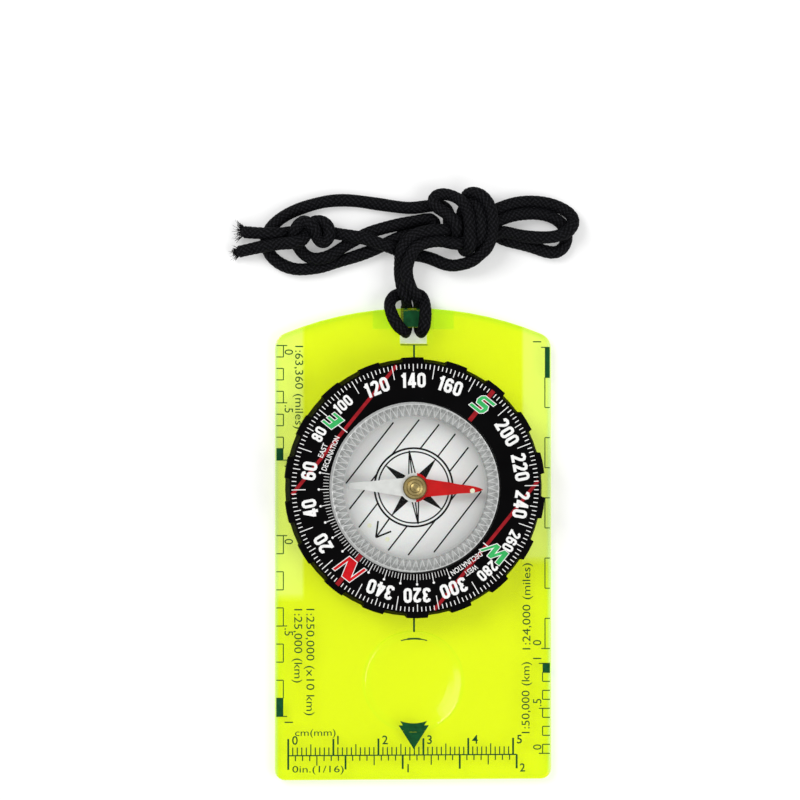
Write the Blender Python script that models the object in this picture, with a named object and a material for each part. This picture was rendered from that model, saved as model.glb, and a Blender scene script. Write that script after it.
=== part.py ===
"""Baseplate compass: a clear plastic plate with a turning bezel, an adjustable capsule, a needle and a lanyard.

The plate lies flat on z = 0 with its lanyard end towards +Y and the dial facing +Z.
Sizes are written in millimetres and turned into metres by MM.
"""
import math

import bmesh
import bpy
from mathutils import Vector

MM = 0.001

# Baseplate
PLATE_WIDTH = 61.5
PLATE_LENGTH = 104.7
PLATE_THICKNESS = 2.2
TOP_ARC_RADIUS = 75.0
TOP_CORNER_RADIUS = 3.5
BOTTOM_CORNER_RADIUS = 2.3
EDGE_ROUND = 0.3
DIAL_Y = 12.5
PLATE_HOLE_RADIUS = 24.2
RETAINER_RECESS_RADIUS = 26.3
RETAINER_RECESS_DEPTH = 1.05
LENS_Y = -30.6
LENS_RADIUS = 11.3
LENS_RIM_HEIGHT = 0.22
LENS_CROWN = 1.25
SLOT_WIDTH = 6.0
SLOT_LOW_Y = 44.45
SLOT_HIGH_Y = 48.0
BAR_PAD_HALF_WIDTH = 9.0
BAR_TOP_Z = 2.9
BAR_UNDERSIDE_Z = 1.5
BAR_TUNNEL_HALF_WIDTH = 4.6

# Bezel and what holds it
LOBES = 18
LOBE_HALF_DEG = 4.6
BEZEL_NORTH_DEG = 231.0
BEZEL_FACE_Z = 8.2
BEZEL_BASE_Z = 2.5
BEZEL_BORE_RADIUS = 18.95
BEZEL_FACE_RADIUS = 27.6
LOBE_TOP_RADIUS = 28.5
LOBE_RADIUS = 28.8
DIP_RADIUS = 28.55
SKIRT_RADIUS = 23.85
SKIRT_BASE_Z = 1.05
SEAT_RADIUS = 20.75
SEAT_ROOF_Z = 4.1
SNAP_GROOVE_INNER_RADIUS = 21.35
SNAP_GROOVE_OUTER_RADIUS = 22.75
SNAP_GROOVE_ROOF_Z = 2.3
HOLLOW_INNER_RADIUS = 24.9
HOLLOW_OUTER_RADIUS = 26.9
HOLLOW_ROOF_Z = 6.6
RETAINER_INNER_RADIUS = 19.0
RETAINER_RADIUS = 25.95
RETAINER_BASE_Z = 0.12
RETAINER_TOP_Z = 0.75
SNAP_INNER_RADIUS = 21.7
SNAP_OUTER_RADIUS = 22.4
SNAP_TOP_Z = 1.95
DRAG_RING_RADIUS = 25.9
DRAG_RING_Z = 2.9
DRAG_WIRE_RADIUS = 0.38
FRICTION_RING_RADIUS = 19.9
FRICTION_RING_Z = 3.35
FRICTION_WIRE_RADIUS = 0.45

# Capsule
CAPSULE_RADIUS = 18.6
CAPSULE_INNER_RADIUS = 17.4
CAPSULE_FLANGE_RADIUS = 20.4
CAPSULE_FLANGE_TOP_Z = 2.6
CAPSULE_FLOOR_TOP_Z = 2.0
CAPSULE_RIM_Z = 7.7
CROWN_TEETH = 72
CROWN_RIDGE_DEPTH = 1.05
CROWN_TOP_Z = 10.5
CROWN_UNDERSIDE_Z = 9.4
CROWN_TOP_RADIUS = 15.9
CROWN_HOLLOW_RADIUS = 15.2
CROWN_BASE_Z = 8.6
SPIGOT_INNER_RADIUS = 16.3
SPIGOT_OUTER_RADIUS = 17.1
SPIGOT_BASE_Z = 7.2
GASKET_INNER_RADIUS = 17.5
GASKET_OUTER_RADIUS = 18.3
GASKET_BASE_Z = 8.0
GASKET_TOP_Z = 8.3
DISC_RADIUS = 17.0
DISC_HOLE_RADIUS = 1.6
DISC_BASE_Z = 2.3
DISC_TOP_Z = 2.8
PLUG_PLACE_X = -14.5
PLUG_HOLE_RADIUS = 0.9
PLUG_RADIUS = 0.6

# Pivot
POST_RADIUS = 1.2
POST_BASE_Z = 2.3
POST_TOP_Z = 4.6
POST_BORE_RADIUS = 0.62
POST_BORE_FLOOR_Z = 3.5
PIN_RADIUS = 0.3
PIN_BASE_Z = 3.8
PIN_TIP_Z = 6.4

# Needle
NEEDLE_ANGLE_DEG = -1.9
NEEDLE_BASE_Z = 5.75
NEEDLE_THICKNESS = 0.3
NEEDLE_NORTH_REACH = 15.25
NEEDLE_SOUTH_REACH = 14.7
BLADE_HUB_RADIUS = 3.25
BLADE_HOLE_RADIUS = 1.95
HUB_RADIUS = 2.65
HUB_BOSS_RADIUS = 1.6
HUB_BORE_RADIUS = 1.15

# Lanyard
CORD_RADIUS = 1.35
KNOT_HEIGHT = 9.0
LOOPS_HEIGHT = 5.6
END_KNOT_HEIGHT = 6.6
LYING_Z = CORD_RADIUS + 0.1


def clear_scene():
    """Remove whatever the file already holds."""
    for item in list(bpy.data.objects):
        bpy.data.objects.remove(item, do_unlink=True)


def finish_of(name, colour, roughness, metallic=0.0, alpha=1.0):
    """Make one Principled material."""
    material = bpy.data.materials.new(name)
    material.use_nodes = True
    shader = material.node_tree.nodes["Principled BSDF"]
    shader.inputs["Base Color"].default_value = (*colour, 1.0)
    shader.inputs["Roughness"].default_value = roughness
    shader.inputs["Metallic"].default_value = metallic
    shader.inputs["Alpha"].default_value = alpha
    return material


def add_object(name, data, material, parent=None):
    """Link an object with its own material, under an empty where it turns."""
    item = bpy.data.objects.new(name, data)
    bpy.context.scene.collection.objects.link(item)
    if material:
        data.materials.append(material)
    item.parent = parent
    return item


def mesh_object(name, bm, material, parent=None, sharp_deg=35.0):
    """Turn a bmesh into an object with outward faces and smooth round sides."""
    bmesh.ops.recalc_face_normals(bm, faces=bm.faces)
    mesh = bpy.data.meshes.new(name)
    bm.to_mesh(mesh)
    bm.free()
    mesh.shade_smooth()
    mesh.set_sharp_from_angle(angle=math.radians(sharp_deg))
    return add_object(name, mesh, material, parent)


def even_angles(steps):
    """Angles evenly spaced round a full turn, in degrees."""
    return [360.0 * step / steps for step in range(steps)]


def turned_bmesh(profile_at, angles, centre=(0.0, 0.0)):
    """Body of revolution: profile_at(angle) gives the closed section as (radius, height) points."""
    bm = bmesh.new()
    rings = []
    for index, (first_radius, height) in enumerate(profile_at(angles[0])):
        if first_radius == 0.0:
            on_axis = bm.verts.new((centre[0] * MM, centre[1] * MM, height * MM))
            rings.append([on_axis] * len(angles))
            continue
        ring = []
        for angle in angles:
            radius, z = profile_at(angle)[index]
            x = centre[0] + radius * math.cos(math.radians(angle))
            y = centre[1] + radius * math.sin(math.radians(angle))
            ring.append(bm.verts.new((x * MM, y * MM, z * MM)))
        rings.append(ring)
    for ring, following in zip(rings, rings[1:] + rings[:1]):
        for step in range(len(angles)):
            after = (step + 1) % len(angles)
            corners = [ring[step], ring[after], following[after], following[step]]
            distinct = list(dict.fromkeys(corners))
            if len(distinct) > 2:
                bm.faces.new(distinct)
    return bm


def turned(name, profile, material, parent=None, steps=48, centre=(0.0, 0.0)):
    """A plain turned piece with the same section all the way round."""
    bm = turned_bmesh(lambda angle: profile, even_angles(steps), centre)
    return mesh_object(name, bm, material, parent)


def round_section(radius, height, wire, sides=8):
    """Section of a wire ring: its centre at (radius, height)."""
    points = []
    for angle in even_angles(sides):
        turn = math.radians(angle + 180.0 / sides)
        points.append((radius + wire * math.cos(turn), height + wire * math.sin(turn)))
    return points


def slab(name, outline, low, high, material=None, parent=None, bevel=0.0, segments=2):
    """Extrude a closed outline from low to high, with rounded rims where bevel is given."""
    bm = bmesh.new()
    base = bm.faces.new([bm.verts.new((x * MM, y * MM, low * MM)) for x, y in outline])
    grown = bmesh.ops.extrude_face_region(bm, geom=[base])
    lifted = [part for part in grown["geom"] if isinstance(part, bmesh.types.BMVert)]
    bmesh.ops.translate(bm, vec=Vector((0.0, 0.0, (high - low) * MM)), verts=lifted)
    item = mesh_object(name, bm, material, parent)
    if bevel:
        rim = item.modifiers.new("rim", "BEVEL")
        rim.width = bevel * MM
        rim.segments = segments
        rim.limit_method = "ANGLE"
        rim.angle_limit = math.radians(60.0)
    return item


def arc(centre_x, centre_y, radius, start_deg, end_deg, count):
    """Points along a circular arc, both ends included."""
    points = []
    for step in range(count):
        turn = math.radians(start_deg + (end_deg - start_deg) * step / (count - 1))
        points.append((centre_x + radius * math.cos(turn), centre_y + radius * math.sin(turn)))
    return points


def mirrored(points):
    """The same points on the other side of x = 0, in the opposite order."""
    return [(-x, y) for x, y in reversed(points)]


def smooth_route(points, spacing):
    """Points about spacing apart on a smooth curve through hand-placed points (x, y, z, radius)."""
    knots = [Vector(point) for point in points]
    ends = [knots[0] * 2 - knots[1], *knots, knots[-1] * 2 - knots[-2]]
    dense = []
    for before, start, end, after in zip(ends, ends[1:], ends[2:], ends[3:]):
        for step in range(24):
            t = step / 24
            dense.append(
                0.5 * (
                    2 * start
                    + (end - before) * t
                    + (2 * before - 5 * start + 4 * end - after) * t ** 2
                    + (3 * start - before - 3 * end + after) * t ** 3
                )
            )
    dense.append(knots[-1])
    travelled = [0.0]
    for start, end in zip(dense, dense[1:]):
        travelled.append(travelled[-1] + (end.xyz - start.xyz).length)
    count = max(2, round(travelled[-1] / spacing))
    route = []
    for step in range(count + 1):
        wanted = travelled[-1] * step / count
        place = max(index for index, length in enumerate(travelled) if length <= wanted + 1e-9)
        route.append(dense[place])
    return route


def cord_tube(name, points, material, spacing=6.0):
    """Plain cord: a bevelled curve whose points carry the cord's local radius."""
    curve = bpy.data.curves.new(name, "CURVE")
    curve.dimensions = "3D"
    curve.bevel_depth = MM
    curve.bevel_resolution = 2
    curve.use_fill_caps = True
    spline = curve.splines.new("POLY")
    route = smooth_route(points, spacing)
    spline.points.add(len(route) - 1)
    for point, place in zip(spline.points, route):
        point.co = (place.x * MM, place.y * MM, place.z * MM, 1.0)
        point.radius = place.w
    return add_object(name, curve, material)


def cut(item, cutter, operation="DIFFERENCE"):
    """Boolean a helper body into item and leave the helper as a hidden guide."""
    cutter.hide_render = True
    cutter.display_type = "WIRE"
    step = item.modifiers.new(cutter.name, "BOOLEAN")
    step.operation = operation
    step.solver = "EXACT"
    step.object = cutter


def plate_outline():
    """Plate outline, counter-clockwise, with a bowed top edge and rounded corners."""
    half_width = PLATE_WIDTH / 2
    half_length = PLATE_LENGTH / 2
    arc_centre_y = half_length - TOP_ARC_RADIUS
    corner_x = half_width - TOP_CORNER_RADIUS
    corner_y = arc_centre_y + math.sqrt((TOP_ARC_RADIUS - TOP_CORNER_RADIUS) ** 2 - corner_x ** 2)
    corner_deg = math.degrees(math.atan2(corner_y - arc_centre_y, corner_x))
    low_x = half_width - BOTTOM_CORNER_RADIUS
    low_y = BOTTOM_CORNER_RADIUS - half_length
    right = arc(low_x, low_y, BOTTOM_CORNER_RADIUS, -90.0, 0.0, 6)
    right += arc(corner_x, corner_y, TOP_CORNER_RADIUS, 0.0, corner_deg, 6)
    right += arc(0.0, arc_centre_y, TOP_ARC_RADIUS, corner_deg, 90.0, 8)[1:-1]
    return [*right, (0.0, half_length), *mirrored(right)]


def bar_pad_outline():
    """Raised pad over the lanyard bar, just inside the bowed top edge."""
    pad_radius = TOP_ARC_RADIUS - 0.35
    centre_y = PLATE_LENGTH / 2 - TOP_ARC_RADIUS
    half_deg = math.degrees(math.asin(BAR_PAD_HALF_WIDTH / pad_radius))
    low_y = SLOT_HIGH_Y - 0.3
    front = arc(0.0, centre_y, pad_radius, 90.0 - half_deg, 90.0 + half_deg, 7)
    return [(-BAR_PAD_HALF_WIDTH, low_y), (BAR_PAD_HALF_WIDTH, low_y), *front]


def rectangle(low_x, low_y, high_x, high_y):
    """Outline of an upright rectangle."""
    return [(low_x, low_y), (high_x, low_y), (high_x, high_y), (low_x, high_y)]


def lens_section():
    """Section of the moulded magnifier: a low rim with a domed top inside it."""
    rim_z = PLATE_THICKNESS + LENS_RIM_HEIGHT
    dome_radius = LENS_RADIUS - 0.75
    section = [(0.0, 1.1), (LENS_RADIUS, 1.1), (LENS_RADIUS, rim_z - 0.1)]
    section += [(LENS_RADIUS - 0.12, rim_z), (LENS_RADIUS - 0.45, rim_z)]
    dome = 7
    for step in range(dome):
        share = 1.0 - step / dome
        section.append((dome_radius * share, PLATE_THICKNESS + 0.08 + LENS_CROWN * (1.0 - share ** 2)))
    section.append((0.0, PLATE_THICKNESS + 0.08 + LENS_CROWN))
    return section


def make_baseplate():
    """Clear plate: dial hole with a ledge for the retainer, lanyard bar and slot, and a moulded lens."""
    plastic = finish_of("fluorescent plate plastic", (0.79, 0.95, 0.03), 0.08, alpha=0.75)
    plate = slab("baseplate", plate_outline(), 0.0, PLATE_THICKNESS, plastic, bevel=EDGE_ROUND)
    pad = slab("bar_pad_guide", bar_pad_outline(), 1.0, BAR_TOP_Z)
    cut(plate, pad, "UNION")
    lens = turned("lens_guide", lens_section(), None, steps=48, centre=(0.0, LENS_Y))
    cut(plate, lens, "UNION")
    hole = turned(
        "dial_hole_guide",
        [(0.0, -1.0), (PLATE_HOLE_RADIUS, -1.0), (PLATE_HOLE_RADIUS, 4.0), (0.0, 4.0)],
        None, steps=72, centre=(0.0, DIAL_Y),
    )
    cut(plate, hole)
    ledge = turned(
        "retainer_recess_guide",
        [(0.0, -0.5), (RETAINER_RECESS_RADIUS, -0.5), (RETAINER_RECESS_RADIUS, RETAINER_RECESS_DEPTH),
         (0.0, RETAINER_RECESS_DEPTH)],
        None, steps=72, centre=(0.0, DIAL_Y),
    )
    cut(plate, ledge)
    half_slot = SLOT_WIDTH / 2
    slot = slab("slot_guide", rectangle(-half_slot, SLOT_LOW_Y, half_slot, SLOT_HIGH_Y), -1.0, 4.0)
    cut(plate, slot)
    tunnel = slab(
        "bar_tunnel_guide",
        rectangle(-BAR_TUNNEL_HALF_WIDTH, SLOT_HIGH_Y - 0.6, BAR_TUNNEL_HALF_WIDTH, PLATE_LENGTH / 2 + 1.0),
        -1.0, BAR_UNDERSIDE_Z,
    )
    cut(plate, tunnel)


def lobe_angles():
    """Stations round the bezel: close together at each lobe's two flanks."""
    pitch = 360.0 / LOBES
    flank = 0.5
    offsets = [-LOBE_HALF_DEG - flank, -LOBE_HALF_DEG, 0.0, LOBE_HALF_DEG, LOBE_HALF_DEG + flank, pitch / 2]
    return [BEZEL_NORTH_DEG + pitch * lobe + offset for lobe in range(LOBES) for offset in offsets]


def bezel_section(angle):
    """Bezel section at an angle: tall at the grip lobes, sloped between them, hollow underneath."""
    pitch = 360.0 / LOBES
    from_lobe = (angle - BEZEL_NORTH_DEG + pitch / 2) % pitch - pitch / 2
    on_lobe = abs(from_lobe) <= LOBE_HALF_DEG + 0.01
    top = LOBE_TOP_RADIUS if on_lobe else BEZEL_FACE_RADIUS
    shoulder = LOBE_RADIUS if on_lobe else BEZEL_FACE_RADIUS + 0.15
    shoulder_z = BEZEL_FACE_Z - 0.3
    foot = LOBE_RADIUS if on_lobe else DIP_RADIUS
    return [
        (BEZEL_BORE_RADIUS, BEZEL_FACE_Z),
        (BEZEL_BORE_RADIUS, SEAT_ROOF_Z),
        (SEAT_RADIUS, SEAT_ROOF_Z),
        (SEAT_RADIUS, SKIRT_BASE_Z),
        (SNAP_GROOVE_INNER_RADIUS, SKIRT_BASE_Z),
        (SNAP_GROOVE_INNER_RADIUS, SNAP_GROOVE_ROOF_Z),
        (SNAP_GROOVE_OUTER_RADIUS, SNAP_GROOVE_ROOF_Z),
        (SNAP_GROOVE_OUTER_RADIUS, SKIRT_BASE_Z),
        (SKIRT_RADIUS, SKIRT_BASE_Z),
        (SKIRT_RADIUS, BEZEL_BASE_Z),
        (HOLLOW_INNER_RADIUS, BEZEL_BASE_Z),
        (HOLLOW_INNER_RADIUS, HOLLOW_ROOF_Z),
        (HOLLOW_OUTER_RADIUS, HOLLOW_ROOF_Z),
        (HOLLOW_OUTER_RADIUS, BEZEL_BASE_Z),
        (foot - 0.3, BEZEL_BASE_Z),
        (foot, BEZEL_BASE_Z + 0.5),
        (shoulder, shoulder_z),
        (top, BEZEL_FACE_Z),
    ]


def make_bezel(dial):
    """Turning azimuth ring, its snap-on retainer under the plate, and the drag ring between them."""
    black = finish_of("black bezel plastic", (0.012, 0.012, 0.014), 0.42)
    bm = turned_bmesh(bezel_section, lobe_angles())
    mesh_object("bezel_ring", bm, black, dial)
    retainer_section = [
        (RETAINER_INNER_RADIUS, RETAINER_BASE_Z),
        (RETAINER_RADIUS, RETAINER_BASE_Z),
        (RETAINER_RADIUS, RETAINER_TOP_Z),
        (SNAP_OUTER_RADIUS, RETAINER_TOP_Z),
        (SNAP_OUTER_RADIUS, SNAP_TOP_Z),
        (SNAP_INNER_RADIUS, SNAP_TOP_Z),
        (SNAP_INNER_RADIUS, RETAINER_TOP_Z),
        (RETAINER_INNER_RADIUS, RETAINER_TOP_Z),
    ]
    retainer = finish_of("retainer plastic", (0.02, 0.02, 0.022), 0.5)
    turned("bezel_retainer", retainer_section, retainer, dial)
    steel = finish_of("drag ring steel", (0.6, 0.6, 0.6), 0.3, 1.0)
    wire = round_section(DRAG_RING_RADIUS, DRAG_RING_Z, DRAG_WIRE_RADIUS, 6)
    turned("drag_ring", wire, steel, dial, steps=42)


def crown_section(angle):
    """Crown section at an angle: ridges and valleys that run out at the flat top."""
    tooth = 360.0 / CROWN_TEETH
    on_ridge = abs((angle + tooth / 4) % tooth - tooth / 4) < tooth / 4
    ridge_radius = CAPSULE_RADIUS - 0.1
    skirt = ridge_radius if on_ridge else ridge_radius - CROWN_RIDGE_DEPTH
    return [
        (0.0, CROWN_UNDERSIDE_Z),
        (CROWN_HOLLOW_RADIUS, CROWN_UNDERSIDE_Z),
        (SPIGOT_INNER_RADIUS, SPIGOT_BASE_Z),
        (SPIGOT_OUTER_RADIUS, SPIGOT_BASE_Z),
        (SPIGOT_OUTER_RADIUS, CROWN_BASE_Z),
        (ridge_radius, CROWN_BASE_Z),
        (skirt, CROWN_BASE_Z + 0.3),
        (CROWN_TOP_RADIUS, CROWN_TOP_Z - 0.15),
        (CROWN_TOP_RADIUS - 0.2, CROWN_TOP_Z),
        (0.0, CROWN_TOP_Z),
    ]


def make_capsule(dial):
    """Clear liquid capsule: cup, ribbed crown, gasket, printed disc, plug and friction ring."""
    clear = finish_of("clear capsule plastic", (0.92, 0.94, 0.93), 0.05, alpha=0.3)
    cup_section = [
        (0.0, SKIRT_BASE_Z),
        (CAPSULE_FLANGE_RADIUS, SKIRT_BASE_Z),
        (CAPSULE_FLANGE_RADIUS, CAPSULE_FLANGE_TOP_Z),
        (CAPSULE_RADIUS, CAPSULE_FLANGE_TOP_Z),
        (CAPSULE_RADIUS, CAPSULE_RIM_Z),
        (CAPSULE_INNER_RADIUS, CAPSULE_RIM_Z),
        (CAPSULE_INNER_RADIUS, CAPSULE_FLOOR_TOP_Z),
        (0.0, CAPSULE_FLOOR_TOP_Z),
    ]
    cup = turned("capsule_cup", cup_section, clear, dial)
    hole_section = [(0.0, 0.5), (PLUG_HOLE_RADIUS, 0.5), (PLUG_HOLE_RADIUS, 2.4), (0.0, 2.4)]
    hole = turned("plug_hole_guide", hole_section, None, dial, steps=16, centre=(PLUG_PLACE_X, 0.0))
    cut(cup, hole)
    crown = finish_of("clear crown plastic", (0.93, 0.95, 0.94), 0.04, alpha=0.25)
    teeth = even_angles(2 * CROWN_TEETH)
    mesh_object("capsule_crown", turned_bmesh(crown_section, teeth), crown, dial, sharp_deg=12.0)
    rubber = finish_of("gasket rubber", (0.05, 0.05, 0.05), 0.7)
    gasket_section = [
        (GASKET_INNER_RADIUS, GASKET_BASE_Z),
        (GASKET_OUTER_RADIUS, GASKET_BASE_Z),
        (GASKET_OUTER_RADIUS, GASKET_TOP_Z),
        (GASKET_INNER_RADIUS, GASKET_TOP_Z),
    ]
    turned("crown_gasket", gasket_section, rubber, dial)
    silicone = finish_of("friction ring silicone", (0.08, 0.08, 0.08), 0.6)
    ring = round_section(FRICTION_RING_RADIUS, FRICTION_RING_Z, FRICTION_WIRE_RADIUS, 6)
    turned("declination_friction_ring", ring, silicone, dial, steps=42)
    milky = finish_of("milky disc plastic", (0.5, 0.5, 0.49), 0.35)
    disc_section = [
        (DISC_HOLE_RADIUS, DISC_BASE_Z),
        (DISC_RADIUS, DISC_BASE_Z),
        (DISC_RADIUS, DISC_TOP_Z),
        (DISC_HOLE_RADIUS, DISC_TOP_Z),
    ]
    turned("orienting_disc", disc_section, milky, dial)
    stopper = finish_of("fill plug plastic", (0.8, 0.8, 0.8), 0.4)
    plug_section = [(0.0, 1.1), (PLUG_RADIUS, 1.1), (PLUG_RADIUS, 1.9), (0.0, 1.9)]
    turned("fill_plug", plug_section, stopper, dial, steps=16, centre=(PLUG_PLACE_X, 0.0))


def make_pivot(dial):
    """Brass post on the capsule floor with a hard steel pin standing in it."""
    brass = finish_of("post brass", (0.55, 0.42, 0.18), 0.3, 1.0)
    post_section = [
        (0.0, POST_BASE_Z),
        (POST_RADIUS, POST_BASE_Z),
        (POST_RADIUS, POST_TOP_Z - 0.3),
        (POST_RADIUS - 0.25, POST_TOP_Z),
        (POST_BORE_RADIUS, POST_TOP_Z),
        (POST_BORE_RADIUS, POST_BORE_FLOOR_Z),
        (0.0, POST_BORE_FLOOR_Z),
    ]
    turned("pivot_post", post_section, brass, dial, steps=20)
    steel = finish_of("pivot steel", (0.7, 0.7, 0.72), 0.15, 1.0)
    pin_section = [
        (0.0, PIN_BASE_Z),
        (PIN_RADIUS, PIN_BASE_Z),
        (PIN_RADIUS, PIN_TIP_Z - 0.7),
        (0.06, PIN_TIP_Z),
        (0.0, PIN_TIP_Z),
    ]
    turned("pivot_pin", pin_section, steel, dial, steps=12)


def needle_outline():
    """Needle blade outline, north tip towards +X: round at the hub, slightly hollow flanks."""
    north_flank = [(NEEDLE_NORTH_REACH, 0.0), (14.4, 0.4), (13.4, 0.66), (12.2, 0.84), (9.9, 1.02), (7.4, 1.42)]
    hub_arc = arc(0.0, 0.0, BLADE_HUB_RADIUS, 38.0, 142.0, 9)
    south_flank = [(-7.4, 1.42), (-9.9, 1.04), (-12.2, 0.8)]
    south_tip = arc(0.62 - NEEDLE_SOUTH_REACH, 0.0, 0.62, 105.0, 180.0, 5)
    upper = north_flank + hub_arc + south_flank + south_tip
    lower = [(x, -y) for x, y in reversed(upper[1:-1])]
    return upper + lower


def make_needle(dial):
    """Magnetised blade on a stepped brass hub that holds the jewel cup."""
    turn = bpy.data.objects.new("needle_turn", None)
    bpy.context.scene.collection.objects.link(turn)
    turn.parent = dial
    turn.rotation_euler.z = math.radians(NEEDLE_ANGLE_DEG)
    paint = finish_of("needle paint", (0.55, 0.01, 0.01), 0.35)
    blade_top = NEEDLE_BASE_Z + NEEDLE_THICKNESS
    blade = slab("needle_blade", needle_outline(), NEEDLE_BASE_Z, blade_top, paint, turn)
    hole_section = [(0.0, 5.0), (BLADE_HOLE_RADIUS, 5.0), (BLADE_HOLE_RADIUS, 7.0), (0.0, 7.0)]
    hole = turned("hub_hole_guide", hole_section, None, turn, steps=24)
    cut(blade, hole)
    brass = finish_of("hub brass", (0.45, 0.36, 0.2), 0.25, 1.0)
    hub_section = [
        (HUB_BORE_RADIUS, 4.9),
        (HUB_BOSS_RADIUS, 4.9),
        (HUB_BOSS_RADIUS, 6.35),
        (HUB_RADIUS, 6.35),
        (HUB_RADIUS, 6.75),
        (HUB_RADIUS - 0.25, 7.0),
        (1.85, 7.0),
        (1.7, 7.35),
        (1.15, 7.45),
        (1.0, 7.8),
        (0.64, 7.9),
        (0.4, 7.75),
        (0.0, 7.75),
        (0.0, 7.3),
        (HUB_BORE_RADIUS, 7.1),
    ]
    turned("needle_hub", hub_section, brass, turn, steps=28)
    jewel = finish_of("jewel", (0.5, 0.05, 0.12), 0.05)
    jewel_section = [(0.0, 6.78), (0.45, 6.42), (0.82, 6.42), (0.82, 6.85), (0.0, 7.0)]
    turned("jewel_cup", jewel_section, jewel, turn, steps=16)


# Hand-placed points of the lanyard in millimetres: x, y, z and the cord's local radius.
# The cord is squeezed flat where it passes under the bar and up through the slot.
BIGHT_POINTS = [
    (-1.45, 46.75, 2.35, 0.68), (-1.9, 47.05, 3.5, 0.75), (-2.9, 48.4, 4.4, 0.95), (-4.4, 50.6, 4.5, 1.1),
    (-5.6, 52.8, 4.2, 1.1), (-5.8, 54.6, 3.0, 1.15), (-4.6, 56.1, 1.7, 1.2), (-2.3, 56.5, 1.35, 1.2),
    (-0.2, 56.4, 1.35, 1.2), (1.9, 55.9, 1.7, 1.2), (3.2, 54.5, 3.0, 1.15), (3.4, 52.6, 4.2, 1.1),
    (3.0, 50.4, 4.5, 1.1), (2.4, 48.4, 4.4, 0.95), (1.8, 47.05, 3.5, 0.75), (1.45, 46.75, 2.35, 0.68),
]
LEFT_LEG_POINTS = [
    (-1.45, 46.85, 1.6, 0.62), (-1.45, 47.5, 0.75, 0.5), (-1.45, 50.0, 0.68, 0.5), (-1.45, 52.7, 0.78, 0.5),
    (-1.6, 54.1, 2.35, 0.6), (-1.9, 55.3, 3.8, 0.85), (-2.4, 57.0, 4.35, 1.1), (-2.8, 59.5, 3.6, 1.2),
    (-3.0, 62.3, 3.4, 1.2),
]
RIGHT_LEG_POINTS = [
    (1.45, 46.85, 1.6, 0.62), (1.4, 47.5, 0.75, 0.5), (1.0, 50.0, 0.68, 0.5), (0.6, 52.7, 0.78, 0.5),
    (0.6, 54.1, 2.35, 0.6), (0.6, 55.3, 3.8, 0.85), (0.5, 57.0, 4.35, 1.1), (0.2, 59.5, 3.6, 1.2),
    (0.0, 62.0, 3.4, 1.2),
]
LEFT_LOOP_POINTS = [
    (1.7, 74.3, LYING_Z, 1.35), (-3.0, 74.8, LYING_Z, 1.35), (-8.6, 75.6, LYING_Z, 1.35),
    (-14.1, 76.2, LYING_Z, 1.35), (-19.7, 75.9, LYING_Z, 1.35), (-25.9, 73.7, LYING_Z, 1.35),
    (-29.4, 71.4, LYING_Z, 1.35), (-31.6, 69.0, LYING_Z, 1.35), (-32.1, 66.3, LYING_Z, 1.35),
    (-31.0, 63.9, LYING_Z, 1.35), (-28.8, 62.0, LYING_Z, 1.35), (-25.9, 61.1, LYING_Z, 1.35),
    (-22.6, 61.4, LYING_Z, 1.35), (-19.7, 62.3, LYING_Z, 1.35), (-15.2, 63.5, LYING_Z, 1.35),
    (-11.4, 64.0, LYING_Z, 1.35), (-7.6, 64.3, LYING_Z, 1.35), (-4.9, 65.0, LYING_Z, 1.35),
]
UPPER_LEAD_POINTS = [
    (1.5, 71.6, 4.4, 1.2), (-3.0, 71.2, 4.4, 1.2), (-6.3, 70.4, 4.3, 1.2), (-9.7, 69.5, 4.2, 1.2),
    (-13.7, 69.0, 4.2, 1.2), (-16.9, 68.9, 4.2, 1.2),
]
LOWER_LEAD_POINTS = [
    (-4.8, 68.0, LYING_Z, 1.2), (-9.7, 67.2, LYING_Z, 1.2), (-13.7, 67.2, LYING_Z, 1.2), (-16.9, 67.3, LYING_Z, 1.2),
]
UPPER_TAIL_POINTS = [
    (-27.9, 69.4, 4.3, 1.1), (-30.8, 69.4, 4.5, 1.1), (-33.7, 69.4, 4.0, 1.1), (-36.2, 69.6, 2.6, 1.1),
]
LOWER_TAIL_POINTS = [
    (-27.9, 66.8, 4.3, 1.1), (-30.8, 66.7, 4.5, 1.1), (-33.7, 66.4, 4.0, 1.1), (-36.6, 65.9, 2.4, 1.1),
    (-38.6, 65.4, 1.3, 1.1),
]
BIG_KNOT_OUTLINE = [
    (-4.5, 63.2), (1.5, 62.5), (5.0, 62.0), (8.9, 60.5), (11.6, 61.3), (14.5, 63.4), (16.9, 66.0), (18.3, 70.5),
    (17.9, 75.8), (16.5, 77.7), (13.9, 79.1), (9.5, 78.6), (5.8, 79.0), (3.2, 78.0), (2.1, 76.0), (1.9, 69.5),
    (-4.4, 69.3),
]
RIGHT_LOOPS_OUTLINE = [
    (18.6, 66.0), (22.0, 65.5), (27.6, 64.2), (31.0, 63.2), (33.6, 63.5), (35.0, 66.0), (36.7, 71.5),
    (36.2, 74.2), (34.2, 76.0), (30.3, 77.0), (26.1, 77.2), (22.0, 76.7), (18.6, 75.8),
]
END_KNOT_OUTLINE = [
    (-27.5, 67.2), (-25.8, 65.6), (-22.0, 65.2), (-18.6, 65.6), (-17.3, 67.3), (-17.2, 70.6), (-18.8, 72.6),
    (-22.0, 73.0), (-24.6, 71.9), (-27.4, 69.9),
]


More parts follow.
